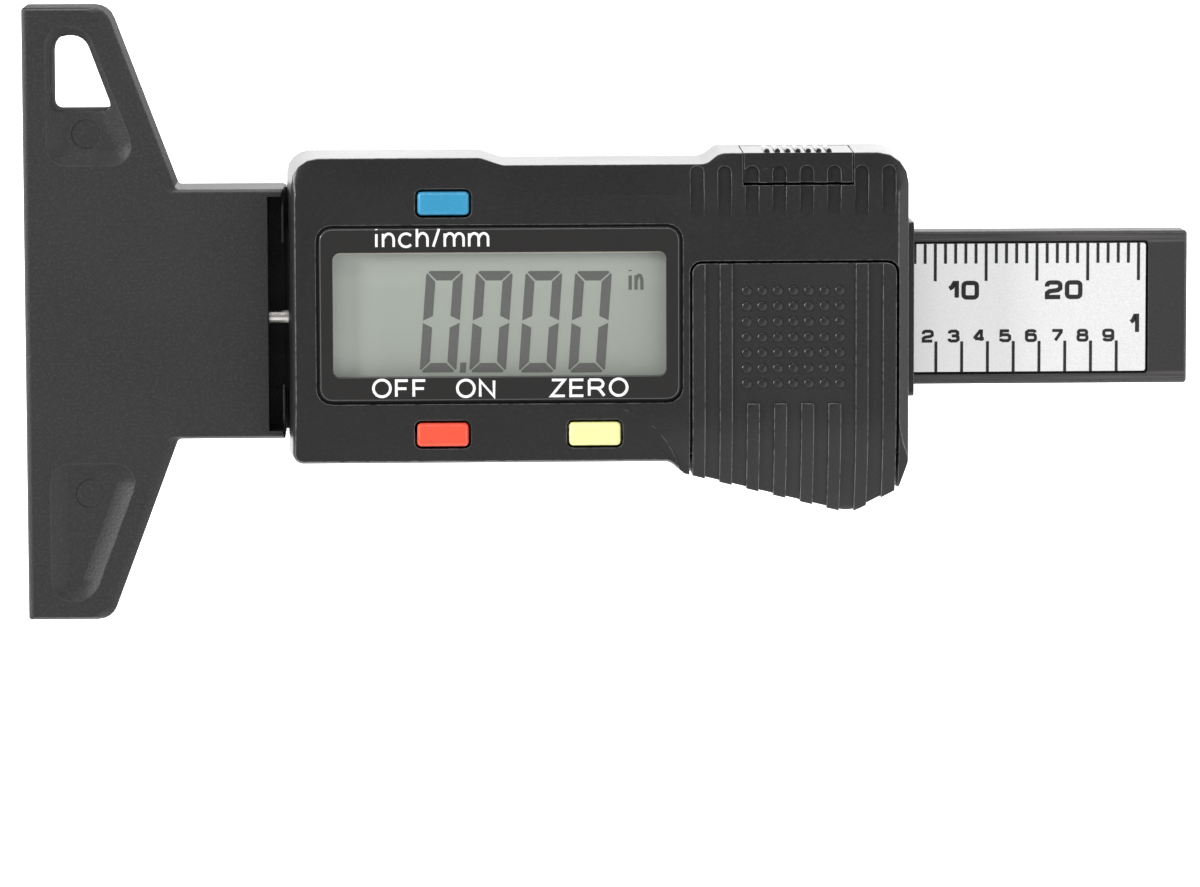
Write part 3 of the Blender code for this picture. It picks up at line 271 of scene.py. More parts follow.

# %% [markdown]
# ## Black moulded plastic
# The base, the housing and the bar are the same black plastic with different mould finishes. The
# base has a fine spark-eroded grain, the housing a smoother satin one. One function makes them
# all: a fine grain as a bump and as specks, a slow change in roughness, as hands and moulding
# leave it, and paler edges, which are partly rubbed wear and partly a painted highlight where the
# rounds catch the light. The bar also has two paler bands, drawn lengthwise, where it has run in
# its guides, and the walls of the base's fins, apart from the measuring face, are dull. The shader
# tells a wall by its normal and its distance from the middle.

# %% A moulded plastic with grain, and edges paler for wear and a painted highlight
RUNNER_GREY = (0.074, 0.069, 0.069)
CLOUDS_PER_METRE = 90.0
EDGE_BREAKS_PER_METRE = 1500.0
DRAWN_PER_METRE = 5000.0
DRAWN_OUT = (0.015, 1.0, 1.0)
BAND_SOFT = 0.0001


def moulded(name, colour, roughness, grain, depth, edge_wear_and_sheen, specks=0.0, band=None, dull_walls=None):
    """Plastic with grain of a size and depth, and paler edges: partly rubbed wear, partly painted
    highlight.
    """
    paint = Paint(name, colour, roughness)
    where = paint.place()
    fine = paint.noise(where, 1.0 / grain, 2.0, 0.6)
    cloud = paint.noise(where, CLOUDS_PER_METRE, 3.0)
    edge_breaks = paint.noise(where, EDGE_BREAKS_PER_METRE, 2.0, 0.6)
    # Colour of the paler edges: rubbed wear and a painted highlight.
    light = tuple(shade + edge_wear_and_sheen for shade in colour)
    dull = tuple(shade * 0.85 for shade in colour)
    pale = tuple(shade * (1 + specks) + specks * 0.004 for shade in colour)
    body = paint.mix(cloud.rise(0.35, 0.7), dull, colour)
    grained = paint.mix(fine.rise(0.45, 0.72), body, pale)
    if band:
        beside = abs(paint.axes(where)[1])
        drawn = paint.noise(paint.place(scale=DRAWN_OUT), DRAWN_PER_METRE, 2.0, 0.6)
        stripe = beside.rise(band[0], band[0] + BAND_SOFT) * (beside < band[1])
        grained = paint.mix(stripe * drawn.rise(0.2, 0.75), grained, RUNNER_GREY)
    shine = roughness + (cloud - 0.5) * 0.10 + (fine - 0.5) * 0.10
    if dull_walls:
        ahead, _, upwards = paint.axes(paint.node("ShaderNodeTexCoord", output="Normal"))
        wall = (abs(upwards) < 0.5) * (ahead > -0.5) * (abs(paint.axes(where)[1]) > dull_walls)
        shine = shine + wall * (1.0 - roughness)
    # Paler rounded edges, partly wear and partly painted highlight, broken up by a noise.
    edged = paint.mix(paint.rub() * edge_breaks.rise(0.25, 0.62), grained, light)
    paint.feed({"Base Color": edged, "Roughness": shine})
    paint.bump(fine, depth, 0.6)
    return paint.material


base_plastic = moulded("base_black_plastic", (0.0122, 0.0122, 0.0127), 0.52, grain=0.00023,
                       depth=0.00008, edge_wear_and_sheen=0.015, specks=0.8, dull_walls=0.0125)
housing_plastic = moulded("housing_black_plastic", (0.0095, 0.0095, 0.0098), 0.33, grain=0.00018,
                          depth=0.000008, edge_wear_and_sheen=0.09, specks=0.4)
cover_plastic = moulded("cover_black_plastic", (0.0115, 0.0115, 0.0118), 0.36, grain=0.00018,
                        depth=0.000008, edge_wear_and_sheen=0.12, specks=0.4)
bar_plastic = moulded("bar_black_plastic", (0.019, 0.018, 0.019), 0.55, grain=0.00022,
                      depth=0.00002, edge_wear_and_sheen=0.03, specks=0.3, band=(0.0063, 0.0072))
print("plastics:", base_plastic.name, housing_plastic.name, cover_plastic.name, bar_plastic.name)

# %% [markdown]
# ## Coloured keys
# The three keys are satin plastic of one colour each, with a slightly paler rim where the light
# catches the rounded edge. The recipe of the black plastic, with a shallow grain, gives them.

# %% Key finishes
KEY_COLOURS = {
    "unit_button": (0.028, 0.28, 0.49),
    "power_button": (0.95, 0.088, 0.042),
    "zero_button": (0.97, 0.97, 0.40),
}
key_finish = {node: moulded(node + "_plastic", shade, 0.38, grain=0.00025, depth=0.000003, edge_wear_and_sheen=0.03)
              for node, shade in KEY_COLOURS.items()}
print("keys:", list(key_finish))

# %% [markdown]
# ## Metals
# The probe pin is ground steel, so its scratches run round it. Screws, spring and contacts are
# stamped or turned parts with their own colours. A noise stretched along one axis makes ground or
# drawn metal, and an even noise makes plating.

# %% Ground, drawn and plated metals
METAL_DEPTH = 0.000002


def metal(name, colour, roughness, stretch=(1.0, 1.0, 1.0), scale=9000.0):
    paint = Paint(name, colour, roughness, 1.0)
    lines = paint.noise(paint.place(scale=stretch), scale, 3.0, 0.6)
    stain = paint.noise(paint.place(), 400.0)
    dark = tuple(shade * 0.72 for shade in colour)
    paint.feed({"Base Color": paint.mix(stain.rise(0.3, 0.75), colour, dark),
                "Roughness": roughness + (lines - 0.5) * 0.25})
    paint.bump(lines, METAL_DEPTH, 0.5)
    return paint.material


pin_steel = metal("ground_pin_steel", (1.0, 0.97, 0.93), 0.18, stretch=(1.0, 0.08, 0.08))
screw_steel = metal("zinc_screw_steel", (0.33, 0.335, 0.345), 0.38)
spring_steel = metal("spring_strip_steel", (0.62, 0.63, 0.65), 0.25, stretch=(0.1, 1.0, 1.0))
nickel = metal("nickel_plate", (0.66, 0.63, 0.57), 0.28)
gold = metal("gold_flash", (0.95, 0.72, 0.30), 0.25)
cell_can = metal("cell_can_steel", (0.70, 0.70, 0.68), 0.24, stretch=(1.0, 1.0, 0.1), scale=5000.0)
copper = metal("etched_copper", (0.80, 0.42, 0.25), 0.35)
print("materials so far:", len(bpy.data.materials))

# %% [markdown]
# ## Dressing CAD nodes
# A CAD node is carried over as it is, and only its material slots change. Where the real part has
# soft edges, a copy of the node gets them: the copy is merged, its flat faces are joined, a Bevel
# modifier rounds the edges and the copy stands for the node. The rounding is real geometry, so it
# catches the light from every side.

# %% Finishes of nodes, and new pieces
def finish(material, *names):
    for name in names:
        for slot in NODES[name].material_slots:
            slot.material = material


def add_piece(name, mesh, material, body):
    item = new_object(name, mesh)
    mesh.materials.clear()
    mesh.materials.append(material)
    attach(item, body)
    return item


print("dressing helpers ready")


# %% From meshes to editable forms and back
def form_of(mesh):
    form = bmesh.new()
    form.from_mesh(mesh)
    return form


def mesh_of(name, form):
    mesh = bpy.data.meshes.new(name)
    form.to_mesh(mesh)
    form.free()
    return mesh


def baked(item):
    """The evaluated mesh of an object with modifiers, which is then removed."""
    view = bpy.context.evaluated_depsgraph_get()
    mesh = bpy.data.meshes.new_from_object(item.evaluated_get(view), depsgraph=view)
    bpy.data.objects.remove(item, do_unlink=True)
    return mesh


print("mesh helpers ready")

# %% [markdown]
# Smooth shading alone would round the large flat faces as well. So an edge stays sharp where it
# is steep or where two large faces meet, and normals are weighted by area, which leaves the bend
# in the light to the narrow rounds.

# %% Smooth rounds between flat faces
SMOOTH_UNDER = math.radians(35)
FLAT_UNDER = math.radians(2)
LARGE_FACE = 0.00002


def is_sharp(edge):
    turn = edge.calc_face_angle(math.pi)
    if turn >= SMOOTH_UNDER:
        return True
    return turn >= FLAT_UNDER and min(face.calc_area() for face in edge.link_faces) >= LARGE_FACE


def smoothed(mesh):
    mesh.shade_smooth()
    form = form_of(mesh)
    for edge in form.edges:
        edge.smooth = not is_sharp(edge)
    form.to_mesh(mesh)
    form.free()
    item = new_object(mesh.name, mesh)
    even = item.modifiers.new("even", "WEIGHTED_NORMAL")
    even.weight = 100
    even.keep_sharp = True
    return baked(item)


print("edges steeper than", round(math.degrees(SMOOTH_UNDER)), "degrees stay sharp")


# %% Joined faces and cut pockets
SAME_POINT = 0.000002
FLAT_ANGLE = math.radians(0.5)


def joined(form, reach):
    """Joins loose triangles as flat faces, without edges shorter than reach."""
    bmesh.ops.remove_doubles(form, verts=form.verts, dist=SAME_POINT)
    bmesh.ops.dissolve_limit(form, angle_limit=FLAT_ANGLE, verts=form.verts, edges=form.edges)
    bmesh.ops.dissolve_degenerate(form, dist=reach, edges=form.edges)


def add_cutter(low, high):
    """A box between two corners."""
    block = bmesh.new()
    bmesh.ops.create_cube(block, size=1.0)
    for vertex in block.verts:
        vertex.co = Vector([a + (b - a) * (at + 0.5) for a, b, at in zip(low, high, vertex.co)])
    return new_object("cutter", mesh_of("cutter", block))


def pocketed(form, boxes):
    """The form with boxes cut out of it, each given by its lowest and highest corner."""
    item = new_object("pocketed", mesh_of("pocketed", form))
    cutters = [add_cutter(low, high) for low, high in boxes]
    for cutter in cutters:
        step = item.modifiers.new("pocket", "BOOLEAN")
        step.operation = "DIFFERENCE"
        step.solver = "EXACT"
        step.object = cutter
    form = form_of(baked(item))
    for cutter in cutters:
        bpy.data.objects.remove(cutter, do_unlink=True)
    return form


print("flat faces are joined below", round(math.degrees(FLAT_ANGLE), 1), "degrees")

# %% [markdown]
# The bevel rounds only the edges that stand out, and its faces get a material index of their own.
# That index becomes an attribute, which tells the shaders where to paint paler edges: rubbed wear,
# and a painted highlight where the rounds catch the light. The same function can widen a cover a
# little, to close the gap round it, and cut pockets.

# %% Copies of nodes with softened edges
ROUND_FROM = math.radians(28)
AT_END = 0.00001


def widen(form, low, high, along, down):
    """Moves the ends outwards along x, and the lower side down."""
    for vertex in form.verts:
        if abs(vertex.co.x - low.x) < AT_END:
            vertex.co.x -= along
        if abs(vertex.co.x - high.x) < AT_END:
            vertex.co.x += along
        if abs(vertex.co.y - low.y) < AT_END:
            vertex.co.y -= down


def bevelled(node, form, radius, material):
    """Mesh of the form with rounds on its marked edges, and an attribute that marks the rounds, where the
    shaders paint wear and a highlight.
    """
    mesh = mesh_of(node, form)
    mesh.materials.append(material)
    mesh.materials.append(material)
    item = new_object(node + "_form", mesh)
    edge = item.modifiers.new("edge", "BEVEL")
    edge.width = radius
    edge.segments = 2
    edge.limit_method = "WEIGHT"
    edge.material = 1
    edge.use_clamp_overlap = False
    mesh = baked(item)
    mesh.attributes.new("rub", "FLOAT", "FACE")
    rub = [float(face.material_index) for face in mesh.polygons]
    mesh.attributes["rub"].data.foreach_set("value", rub)
    mesh.polygons.foreach_set("material_index", [0] * len(rub))
    print(node, "faces:", len(rub), "of them rounds:", int(sum(rub)))
    return mesh


def softened(node, radius, material, body, merge=0.00003, grow=(0.0, 0.0), pockets=()):
    """Copy of a node with its outer edges rounded, which stands for the node."""
    form = form_of(NODES[node].data)
    joined(form, merge)
    low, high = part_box(node)
    widen(form, low, high, *grow)
    if pockets:
        form = pocketed(form, pockets)
        joined(form, merge)
    weight = form.edges.layers.float.new("bevel_weight_edge")
    for edge in form.edges:
        if edge.is_manifold and edge.is_convex and edge.calc_face_angle() > ROUND_FROM:
            edge[weight] = 1.0
    mesh = smoothed(bevelled(node, form, radius, material))
    piece = add_piece(node + "_shell", mesh, material, body)
    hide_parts(node)


print("edges steeper than", round(math.degrees(ROUND_FROM)), "degrees are rounded")

# %% [markdown]
# Beside the bar, the neck of the base has two dark pockets, in the notch through which the pin is
# seen. They are small, so a Boolean cuts them from this copy only.

# %% Softened shells
NECK_END = FACE_X + 0.0237
POCKET_DEPTH = 0.0013
POCKET_HALF = 0.00273
POCKET_SIDE = 0.00873
POCKET_FLOOR = 0.0026
POCKET_TOP = 0.0085
sight_notch = [((NECK_END, middle - POCKET_HALF, POCKET_FLOOR),
                (NECK_END + POCKET_DEPTH, middle + POCKET_HALF, POCKET_TOP))
               for middle in (POCKET_SIDE, -POCKET_SIDE)]
softened("measuring_base", 0.00008, base_plastic, "housing", merge=0.00005,
         pockets=sight_notch)
softened("front_cover", 0.00007, housing_plastic, "housing", merge=0.00005)
softened("rear_frame", 0.00006, housing_plastic, "housing")
softened("battery_cover", 0.00008, cover_plastic, "cell_door")
softened("port_cover", 0.00007, housing_plastic, "port_door", merge=0.00008,
         grow=(0.00018, 0.00020))
softened("ruler_bar", 0.00008, bar_plastic, "ruler", merge=0.00008)
softened("unit_button", 0.00010, key_finish["unit_button"], "unit_key", merge=0.00005)
softened("power_button", 0.00008, key_finish["power_button"], "power_key")
softened("zero_button", 0.00010, key_finish["zero_button"], "zero_key", merge=0.00005)
print("pockets beside the bar:", len(sight_notch))

# %% [markdown]
# ## The window and its black border
# The display window is one clear plate with a black border printed behind it. Two plates would
# show a step that the real one hasn't, so the border is painted by the material: the distance to
# a rounded rectangle, worked out from Object coordinates, tells border from clear.

# %% Place of the clear view
lcd_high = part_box("lcd_module")[1]
window_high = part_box("display_window")[1]
VIEW_LEFT = FACE_X + 0.03002
VIEW_RIGHT = FACE_X + 0.06218
VIEW_TOP = 0.00641
VIEW_BOTTOM = -0.00567
VIEW_CORNER = 0.0007
view_middle = Vector(((VIEW_LEFT + VIEW_RIGHT) / 2, (VIEW_TOP + VIEW_BOTTOM) / 2, 0.0))
view_half = ((VIEW_RIGHT - VIEW_LEFT) / 2, (VIEW_TOP - VIEW_BOTTOM) / 2)
print("clear view in mm:", [round(side * 2000, 2) for side in view_half])

# %% Window material
BORDER_SOFT = 0.00002
CLEAR_ACRYLIC = (0.9, 0.92, 0.9)
BORDER_BLACK = (0.015, 0.014, 0.0135)
# Grey of the window's rounded rim, a painted highlight.
RIM_SHEEN_GREY = grey(0.075)


def rounded_box(paint, where, half_x, half_y, radius):
    """Distance in metres to a rounded rectangle, less than 0 inside it."""
    x, y, _ = paint.axes(where)
    out_x = (abs(x) - (half_x - radius)).above(0.0)
    out_y = (abs(y) - (half_y - radius)).above(0.0)
    return (out_x * out_x + out_y * out_y) ** 0.5 - radius


glass = Paint("window_acrylic_printed", (0.018, 0.0165, 0.016), 0.12)
outside = rounded_box(glass, glass.place(view_middle), *view_half, VIEW_CORNER)
border = outside.rise(-BORDER_SOFT, BORDER_SOFT)
haze = glass.noise(glass.place(), 600.0)
printed = glass.mix(border, CLEAR_ACRYLIC, BORDER_BLACK)
# The rounded rim is painted grey as a painted highlight.
glass.feed({"Alpha": 0.03 + border * 0.97,
            "Base Color": glass.mix(glass.rub(), printed, RIM_SHEEN_GREY),
            "Roughness": 0.10 + haze * 0.08 + border * 0.10})
glass.bump(haze, 0.000003, 0.3)
softened("display_window", 0.00006, glass.material, "housing")

# %% [markdown]
# ## The display
# A reflective liquid crystal display is a grey-green mirror under a polariser: its colour drifts
# a little across the glass. Painted shade makes it darker towards the bottom and the right, and
# painted light makes it paler towards its upper and left edges, most of all low on the left,
# against the shade of the border. A thin pale line runs along its upper edge. The material works
# all of this out from Object coordinates.

# %% Display glass
GLASS_DARK = (0.255, 0.28, 0.245)
GLASS_LIGHT = (0.285, 0.315, 0.275)
GLASS_LIT = (0.46, 0.495, 0.445)
GLASS_SPECK = (0.34, 0.37, 0.32)
EDGE_LINE = (0.60, 0.57, 0.48)

crystal = Paint("display_grey_green", (0.29, 0.32, 0.28), 0.30)
crystal_place = crystal.place(view_middle)
across, along, _ = crystal.axes(crystal_place)
half_wide, half_high = view_half
drift = crystal.noise(crystal_place, 35.0)
speck = crystal.noise(crystal_place, 7000.0)
# Painted shade, darker towards the bottom and the right, mixed with a random drift of tone.
drift_and_painted_shade = (along / half_high * 0.35 - across / half_wide * 0.15 + drift * 0.8).rise(-0.4, 1.0)
# Painted light near the upper and left edges, strongest low on the left.
near_top = along.rise(half_high - 0.0042, half_high + 0.0006)
near_left = (-1.0 * across).rise(half_wide - 0.0055, half_wide + 0.0010)
near_low = (-1.0 * along).rise(0.0, half_high)
top_line = along.rise(half_high - 0.00030, half_high - 0.00022)
tone = crystal.mix(drift_and_painted_shade, GLASS_DARK, GLASS_LIGHT)
with_painted_light = crystal.mix(near_top * 0.6 + near_left * (0.9 + near_low * 0.5), tone, GLASS_LIT)
grained = crystal.mix(speck.rise(0.3, 0.8) * 0.25, with_painted_light, GLASS_SPECK)
crystal.feed({"Base Color": crystal.mix(top_line, grained, EDGE_LINE), "Roughness": 0.26 + speck * 0.1})
finish(crystal.material, "lcd_module")
print("display glass:", crystal.material.name)

# %% [markdown]
# ## Digits and inks
# The digits are seven-segment shapes, cut at 45 degrees with a hair's gap, and lean to the right.
# They float just above the glass. They are closed plates two hundredths of a millimetre thick, as
# all the print here is, so they also show in the exported meshes. The inks of display, words and
# scale are one recipe: a flat colour with fine paler specks.

# %% Inks
def ink(name, colour, roughness):
    paint = Paint(name, colour, roughness)
    specks = paint.noise(paint.place(), 5000.0, 3.0, 0.6)
    pale = tuple(min(1.0, shade * 1.25 + 0.01) for shade in colour)
    paint.feed({"Base Color": paint.mix(specks.rise(0.35, 0.8), colour, pale),
                "Roughness": roughness + (specks - 0.5) * 0.1})
    return paint.material


segment_ink = ink("display_segment_grey", (0.048, 0.050, 0.045), 0.7)
label_white = ink("label_white_print", grey(0.82), 0.5)
scale_black = ink("scale_black_print", grey(0.006), 0.7)
print("inks:", segment_ink.name, label_white.name, scale_black.name)

# %% Plates from outlines
PRINT_THICK = 0.00002


def add_plate(form, outline, low):
    """Closed plate over an outline of (x, y) points that runs anticlockwise."""
    lower = [form.verts.new((x, y, low)) for x, y in outline]
    upper = [form.verts.new((x, y, low + PRINT_THICK)) for x, y in outline]
    form.faces.new(lower[::-1])
    form.faces.new(upper)
    for index in range(len(outline)):
        after = (index + 1) % len(outline)
        form.faces.new((lower[index], lower[after], upper[after], upper[index]))


print("thickness of the print in mm:", PRINT_THICK * 1000)


# %% Pieces made of print
def add_print(name, form, material, body):
    """A piece made of the plates and ribbons in a form."""
    bmesh.ops.recalc_face_normals(form, faces=form.faces)
    print(name, "faces:", len(form.faces))
    add_piece(name, mesh_of(name, form), material, body)


# %% Seven-segment digits
DIGIT_COUNT = 4
DIGIT_WIDTH = 0.00355
DIGIT_HEIGHT = 0.00985
DIGIT_PITCH = 0.00480
ROW_DROP = 0.00003
SEGMENT = 0.00092
SEGMENT_GAP = 0.00012
SEGMENT_CORNER = 0.00022
LEAN = 0.074
FIRST_DIGIT = (FACE_X + 0.03834, -0.00536)
POINT = (FACE_X + 0.04223, -0.00540)
POINT_WIDTH = 0.00058
POINT_HEIGHT = 0.00098
segment_low = lcd_high.z + 0.00001


def upright_segments():
    """Outlines of the six segments of a 0, in an upright digit with its corner at 0, 0."""
    wide, high = DIGIT_WIDTH, DIGIT_HEIGHT
    thick, gap, cut = SEGMENT, SEGMENT_GAP, SEGMENT_CORNER
    middle = high / 2
    bar = [(gap + cut, 0), (wide - gap - cut, 0), (wide - gap - cut * 0.4, cut * 0.6),
           (wide - thick - gap, thick), (thick + gap, thick), (gap + cut * 0.4, cut * 0.6)]
    post = [(0, gap + cut), (cut * 0.5, gap + cut * 0.5), (thick, thick + gap),
            (thick, middle - thick * 0.62), (0, middle - gap)]
    outlines = []
    for shape, sides in ((bar, (1,)), (post, (1, -1))):
        for turn in (1, -1):
            for flip in sides:
                outline = [(wide / 2 + (x - wide / 2) * flip, middle + (y - middle) * turn)
                           for x, y in shape]
                outlines.append(outline if flip * turn > 0 else outline[::-1])
    return outlines


def leaning(corner, outline):
    """An upright outline, moved to a corner and leant to the right."""
    return [(corner[0] + x + y * LEAN, corner[1] + y) for x, y in outline]


digits = bmesh.new()
for number in range(DIGIT_COUNT):
    digit_corner = (FIRST_DIGIT[0] + number * DIGIT_PITCH, FIRST_DIGIT[1] - number * ROW_DROP)
    for outline in upright_segments():
        add_plate(digits, leaning(digit_corner, outline), segment_low)
point_outline = [(0, 0), (POINT_WIDTH, 0), (POINT_WIDTH, POINT_HEIGHT), (0, POINT_HEIGHT)]
add_plate(digits, leaning(POINT, point_outline), segment_low)
add_print("display_digits", digits, segment_ink, "housing")

# %% [markdown]
# ## Letters and numbers as ribbons
# The words name what each key does, so they are generic: a unit, ON, OFF and ZERO. The figures on
# the scale are wide and square with round corners. No built-in font has both looks, so each
# character is a path in a unit square, and a ribbon of even width follows it, like the path of an
# engraving tool. A character's entry gives its width, its height and its paths.

# %% Curves of the characters
def curve(centre, radii, start, stop, steps=10):
    """Points on an ellipse, from one angle in degrees to another."""
    turns = [math.radians(start + (stop - start) * step / steps) for step in range(steps + 1)]
    return [(centre[0] + radii[0] * math.cos(turn), centre[1] + radii[1] * math.sin(turn))
            for turn in turns]


def box_round(low, high, radius=(0.24, 0.2)):
    """Rounded rectangle between two corners, as a closed path."""
    left, bottom = low[0] + radius[0], low[1] + radius[1]
    right, top = high[0] - radius[0], high[1] - radius[1]
    path = curve((right, bottom), radius, -90, 0, 3) + curve((right, top), radius, 0, 90, 3)
    path += curve((left, top), radius, 90, 180, 3) + curve((left, bottom), radius, 180, 270, 3)
    return path + path[:1]


print("points in a rounded box:", len(box_round((0, 0), (1, 1))))

# %% Letters
BOWL = curve((0.6, 0.74), (0.32, 0.26), 70, -70, 8)
LETTERS = {
    "O": (1.05, 1.04, [curve((0.5, 0.5), (0.5, 0.5), 0, 360, 32)]),
    "F": (0.76, 1.0, [[(1, 1), (0, 1), (0, 0)], [(0, 0.5), (0.88, 0.5)]]),
    "N": (0.88, 1.0, [[(0, 0), (0, 1), (1, 0), (1, 1)]]),
    "Z": (0.86, 1.0, [[(0.04, 1), (0.98, 1), (0, 0), (1, 0)]]),
    "E": (0.82, 1.0, [[(1, 1), (0, 1), (0, 0), (1, 0)], [(0, 0.52), (0.93, 0.52)]]),
    "R": (0.95, 1.0, [[(0, 0), (0, 1)],
                      [(0, 1), (0.6, 1)] + BOWL + [(0.6, 0.48), (0, 0.48)],
                      [(0.5, 0.48), (0.68, 0.38), (1, 0)]]),
    "i": (0.19, 1.09, [[(0, 0), (0, 0.72)], [(0, 0.95), (0, 1.0)]]),
    "n": (0.70, 0.84, [[(0, 0), (0, 1)],
                       [(0, 0.6)] + curve((0.54, 0.56), (0.46, 0.44), 155, 0) + [(1, 0)]]),
    "c": (0.77, 0.84, [curve((0.56, 0.5), (0.56, 0.5), 42, 318, 20)]),
    "h": (0.70, 1.09, [[(0, 0), (0, 1)],
                       [(0, 0.44)] + curve((0.54, 0.42), (0.46, 0.34), 155, 0) + [(1, 0)]]),
    "/": (0.45, 1.09, [[(0, 0), (1, 1)]]),
    "m": (1.14, 0.84, [[(0, 0), (0, 1)],
                       [(0, 0.62)] + curve((0.27, 0.62), (0.23, 0.38), 150, 0) + [(0.5, 0)],
                       [(0.5, 0.62)] + curve((0.77, 0.62), (0.23, 0.38), 150, 0) + [(1, 0)]]),
}
print("letters:", len(LETTERS))

# %% Figures
SHOULDERS = curve((0.24, 0.8), (0.24, 0.2), 180, 90, 3) + curve((0.76, 0.8), (0.24, 0.2), 90, 0, 3)
FIGURES = {
    "0": (0.93, 1.0, [box_round((0, 0), (1, 1))]),
    "1": (0.62, 1.0, [[(0, 0.62), (0.35, 0.72), (0.66, 1), (1, 1), (1, 0)]]),
    "2": (0.93, 1.0, [[(0, 0.72)] + SHOULDERS
                      + [(1, 0.6), (0.8, 0.47), (0.2, 0.4), (0, 0.27), (0, 0), (1, 0)]]),
    "3": (0.93, 1.0, [[(0.02, 0.76), (0.06, 0.92), (0.24, 1), (0.76, 1), (0.96, 0.88), (0.96, 0.66),
                       (0.78, 0.52), (0.3, 0.52)],
                      [(0.78, 0.52), (1, 0.38), (1, 0.14), (0.78, 0), (0.22, 0), (0.02, 0.1), (0, 0.24)]]),
    "4": (0.93, 1.0, [[(0.72, 0), (0.72, 1), (0.56, 1), (0, 0.34), (0, 0.22)], [(0, 0.22), (1, 0.22)]]),
    "5": (0.93, 1.0, [[(0.94, 1), (0.06, 1), (0.04, 0.55), (0.2, 0.6), (0.78, 0.6), (1, 0.46),
                       (1, 0.14), (0.78, 0), (0.22, 0), (0.02, 0.1), (0, 0.22)]]),
    "6": (0.93, 1.0, [[(0.96, 0.8), (0.92, 0.94), (0.76, 1), (0.24, 1), (0, 0.84), (0, 0.3)],
                      box_round((0, 0), (1, 0.6))]),
    "7": (0.93, 1.0, [[(0, 1), (1, 1), (1, 0.86), (0.34, 0)]]),
    "8": (0.93, 1.0, [box_round((0, 0), (1, 0.54)), box_round((0.04, 0.54), (0.96, 1))]),
    "9": (0.93, 1.0, [[(0.04, 0.2), (0.08, 0.06), (0.24, 0), (0.76, 0), (1, 0.16), (1, 0.7)],
                      box_round((0, 0.4), (1, 1))]),
}
print("figures:", len(FIGURES))

# %% Ribbons along the paths
SHARPEST = 0.45
CLOSED = 0.000001


def add_ribbon(form, path, width, low):
    """Ribbon of even width along a path, mitred at its corners."""
    path = [Vector(point) for point in path]
    loop = (path[0] - path[-1]).length < CLOSED
    if loop:
        path.pop()
    rings = []
    for index, point in enumerate(path):
        before = path[index - 1] if loop or index else None
        after = path[(index + 1) % len(path)] if loop or index + 1 < len(path) else None
        into = (point - before).normalized() if before is not None else (after - point).normalized()
        out = (after - point).normalized() if after is not None else into
        middle = (into + out).normalized()
        side = Vector((-middle.y, middle.x)) * (width / 2 / max(SHARPEST, middle.dot(into)))
        corners = [(point + side, low), (point - side, low), (point - side, low + PRINT_THICK),
                   (point + side, low + PRINT_THICK)]
        rings.append([form.verts.new((place.x, place.y, height)) for place, height in corners])
    for first, second in zip(rings, rings[1:] + (rings[:1] if loop else [])):
        for corner in range(4):
            after = (corner + 1) % 4
            form.faces.new((first[corner], first[after], second[after], second[corner]))
    if not loop:
        form.faces.new(rings[0][::-1])
        form.faces.new(rings[-1])


print("a mitre is at most", round(1 / SHARPEST, 1), "strokes wide")

# %% [markdown]
# Where two paths of a character cross, their ribbons would share a face and flicker. So each path
# lies two thousandths of a millimetre above the one before.

# %% Text along a line
LIFT = 0.000002


def write(form, text, corner, height, stroke, low, alphabet=LETTERS, gap=0.17, wide=1.0):
    """Text from its lower left corner, and its right end."""
    left = corner[0]
    for character in text:
        share, tall, paths = alphabet[character]
        width = max(share * height * wide, stroke)
        for layer, path in enumerate(paths):
            points = [(left + stroke / 2 + x * (width - stroke),
                       corner[1] + stroke / 2 + y * (tall * height - stroke)) for x, y in path]
            add_ribbon(form, points, stroke, low + layer * LIFT)
        left += width + gap * height
    return left - gap * height


print("lift between paths in mm:", LIFT * 1000)

# %% Words on the window and on the display
LABELS = (
    ("inch/mm", (0.03413, 0.00688), 0.00180, 0.00024),
    ("OFF", (0.03374, -0.00763), 0.00181, 0.00026),
    ("ON", (0.04184, -0.00768), 0.00181, 0.00026),
    ("ZERO", (0.05093, -0.00766), 0.00181, 0.00026),
)
UNIT_CORNER = (FACE_X + 0.05862, 0.00240)
UNIT_HEIGHT = 0.00205
UNIT_STROKE = 0.00032

words = bmesh.new()
for text, (left, base), height, stroke in LABELS:
    end = write(words, text, (FACE_X + left, base), height, stroke, window_high.z + 2 * LIFT)
    print(text, "width in mm:", round((end - FACE_X - left) * 1000, 2))
add_print("key_words", words, label_white, "housing")
unit = bmesh.new()
write(unit, "in", UNIT_CORNER, UNIT_HEIGHT, UNIT_STROKE, segment_low, gap=0.12, wide=0.62)
add_print("display_unit", unit, segment_ink, "housing")

# %% [markdown]
# ## The scale on the bar
# The bar carries a silver plate with a millimetre scale above and tenths of an inch below. The
# marks repeat at an even pitch, so a Geometry Nodes tree lays them out: a line of points, a
# stroke on each, and a longer stroke on every fifth. Its sizes are named inputs, and one tree
# serves both scales.

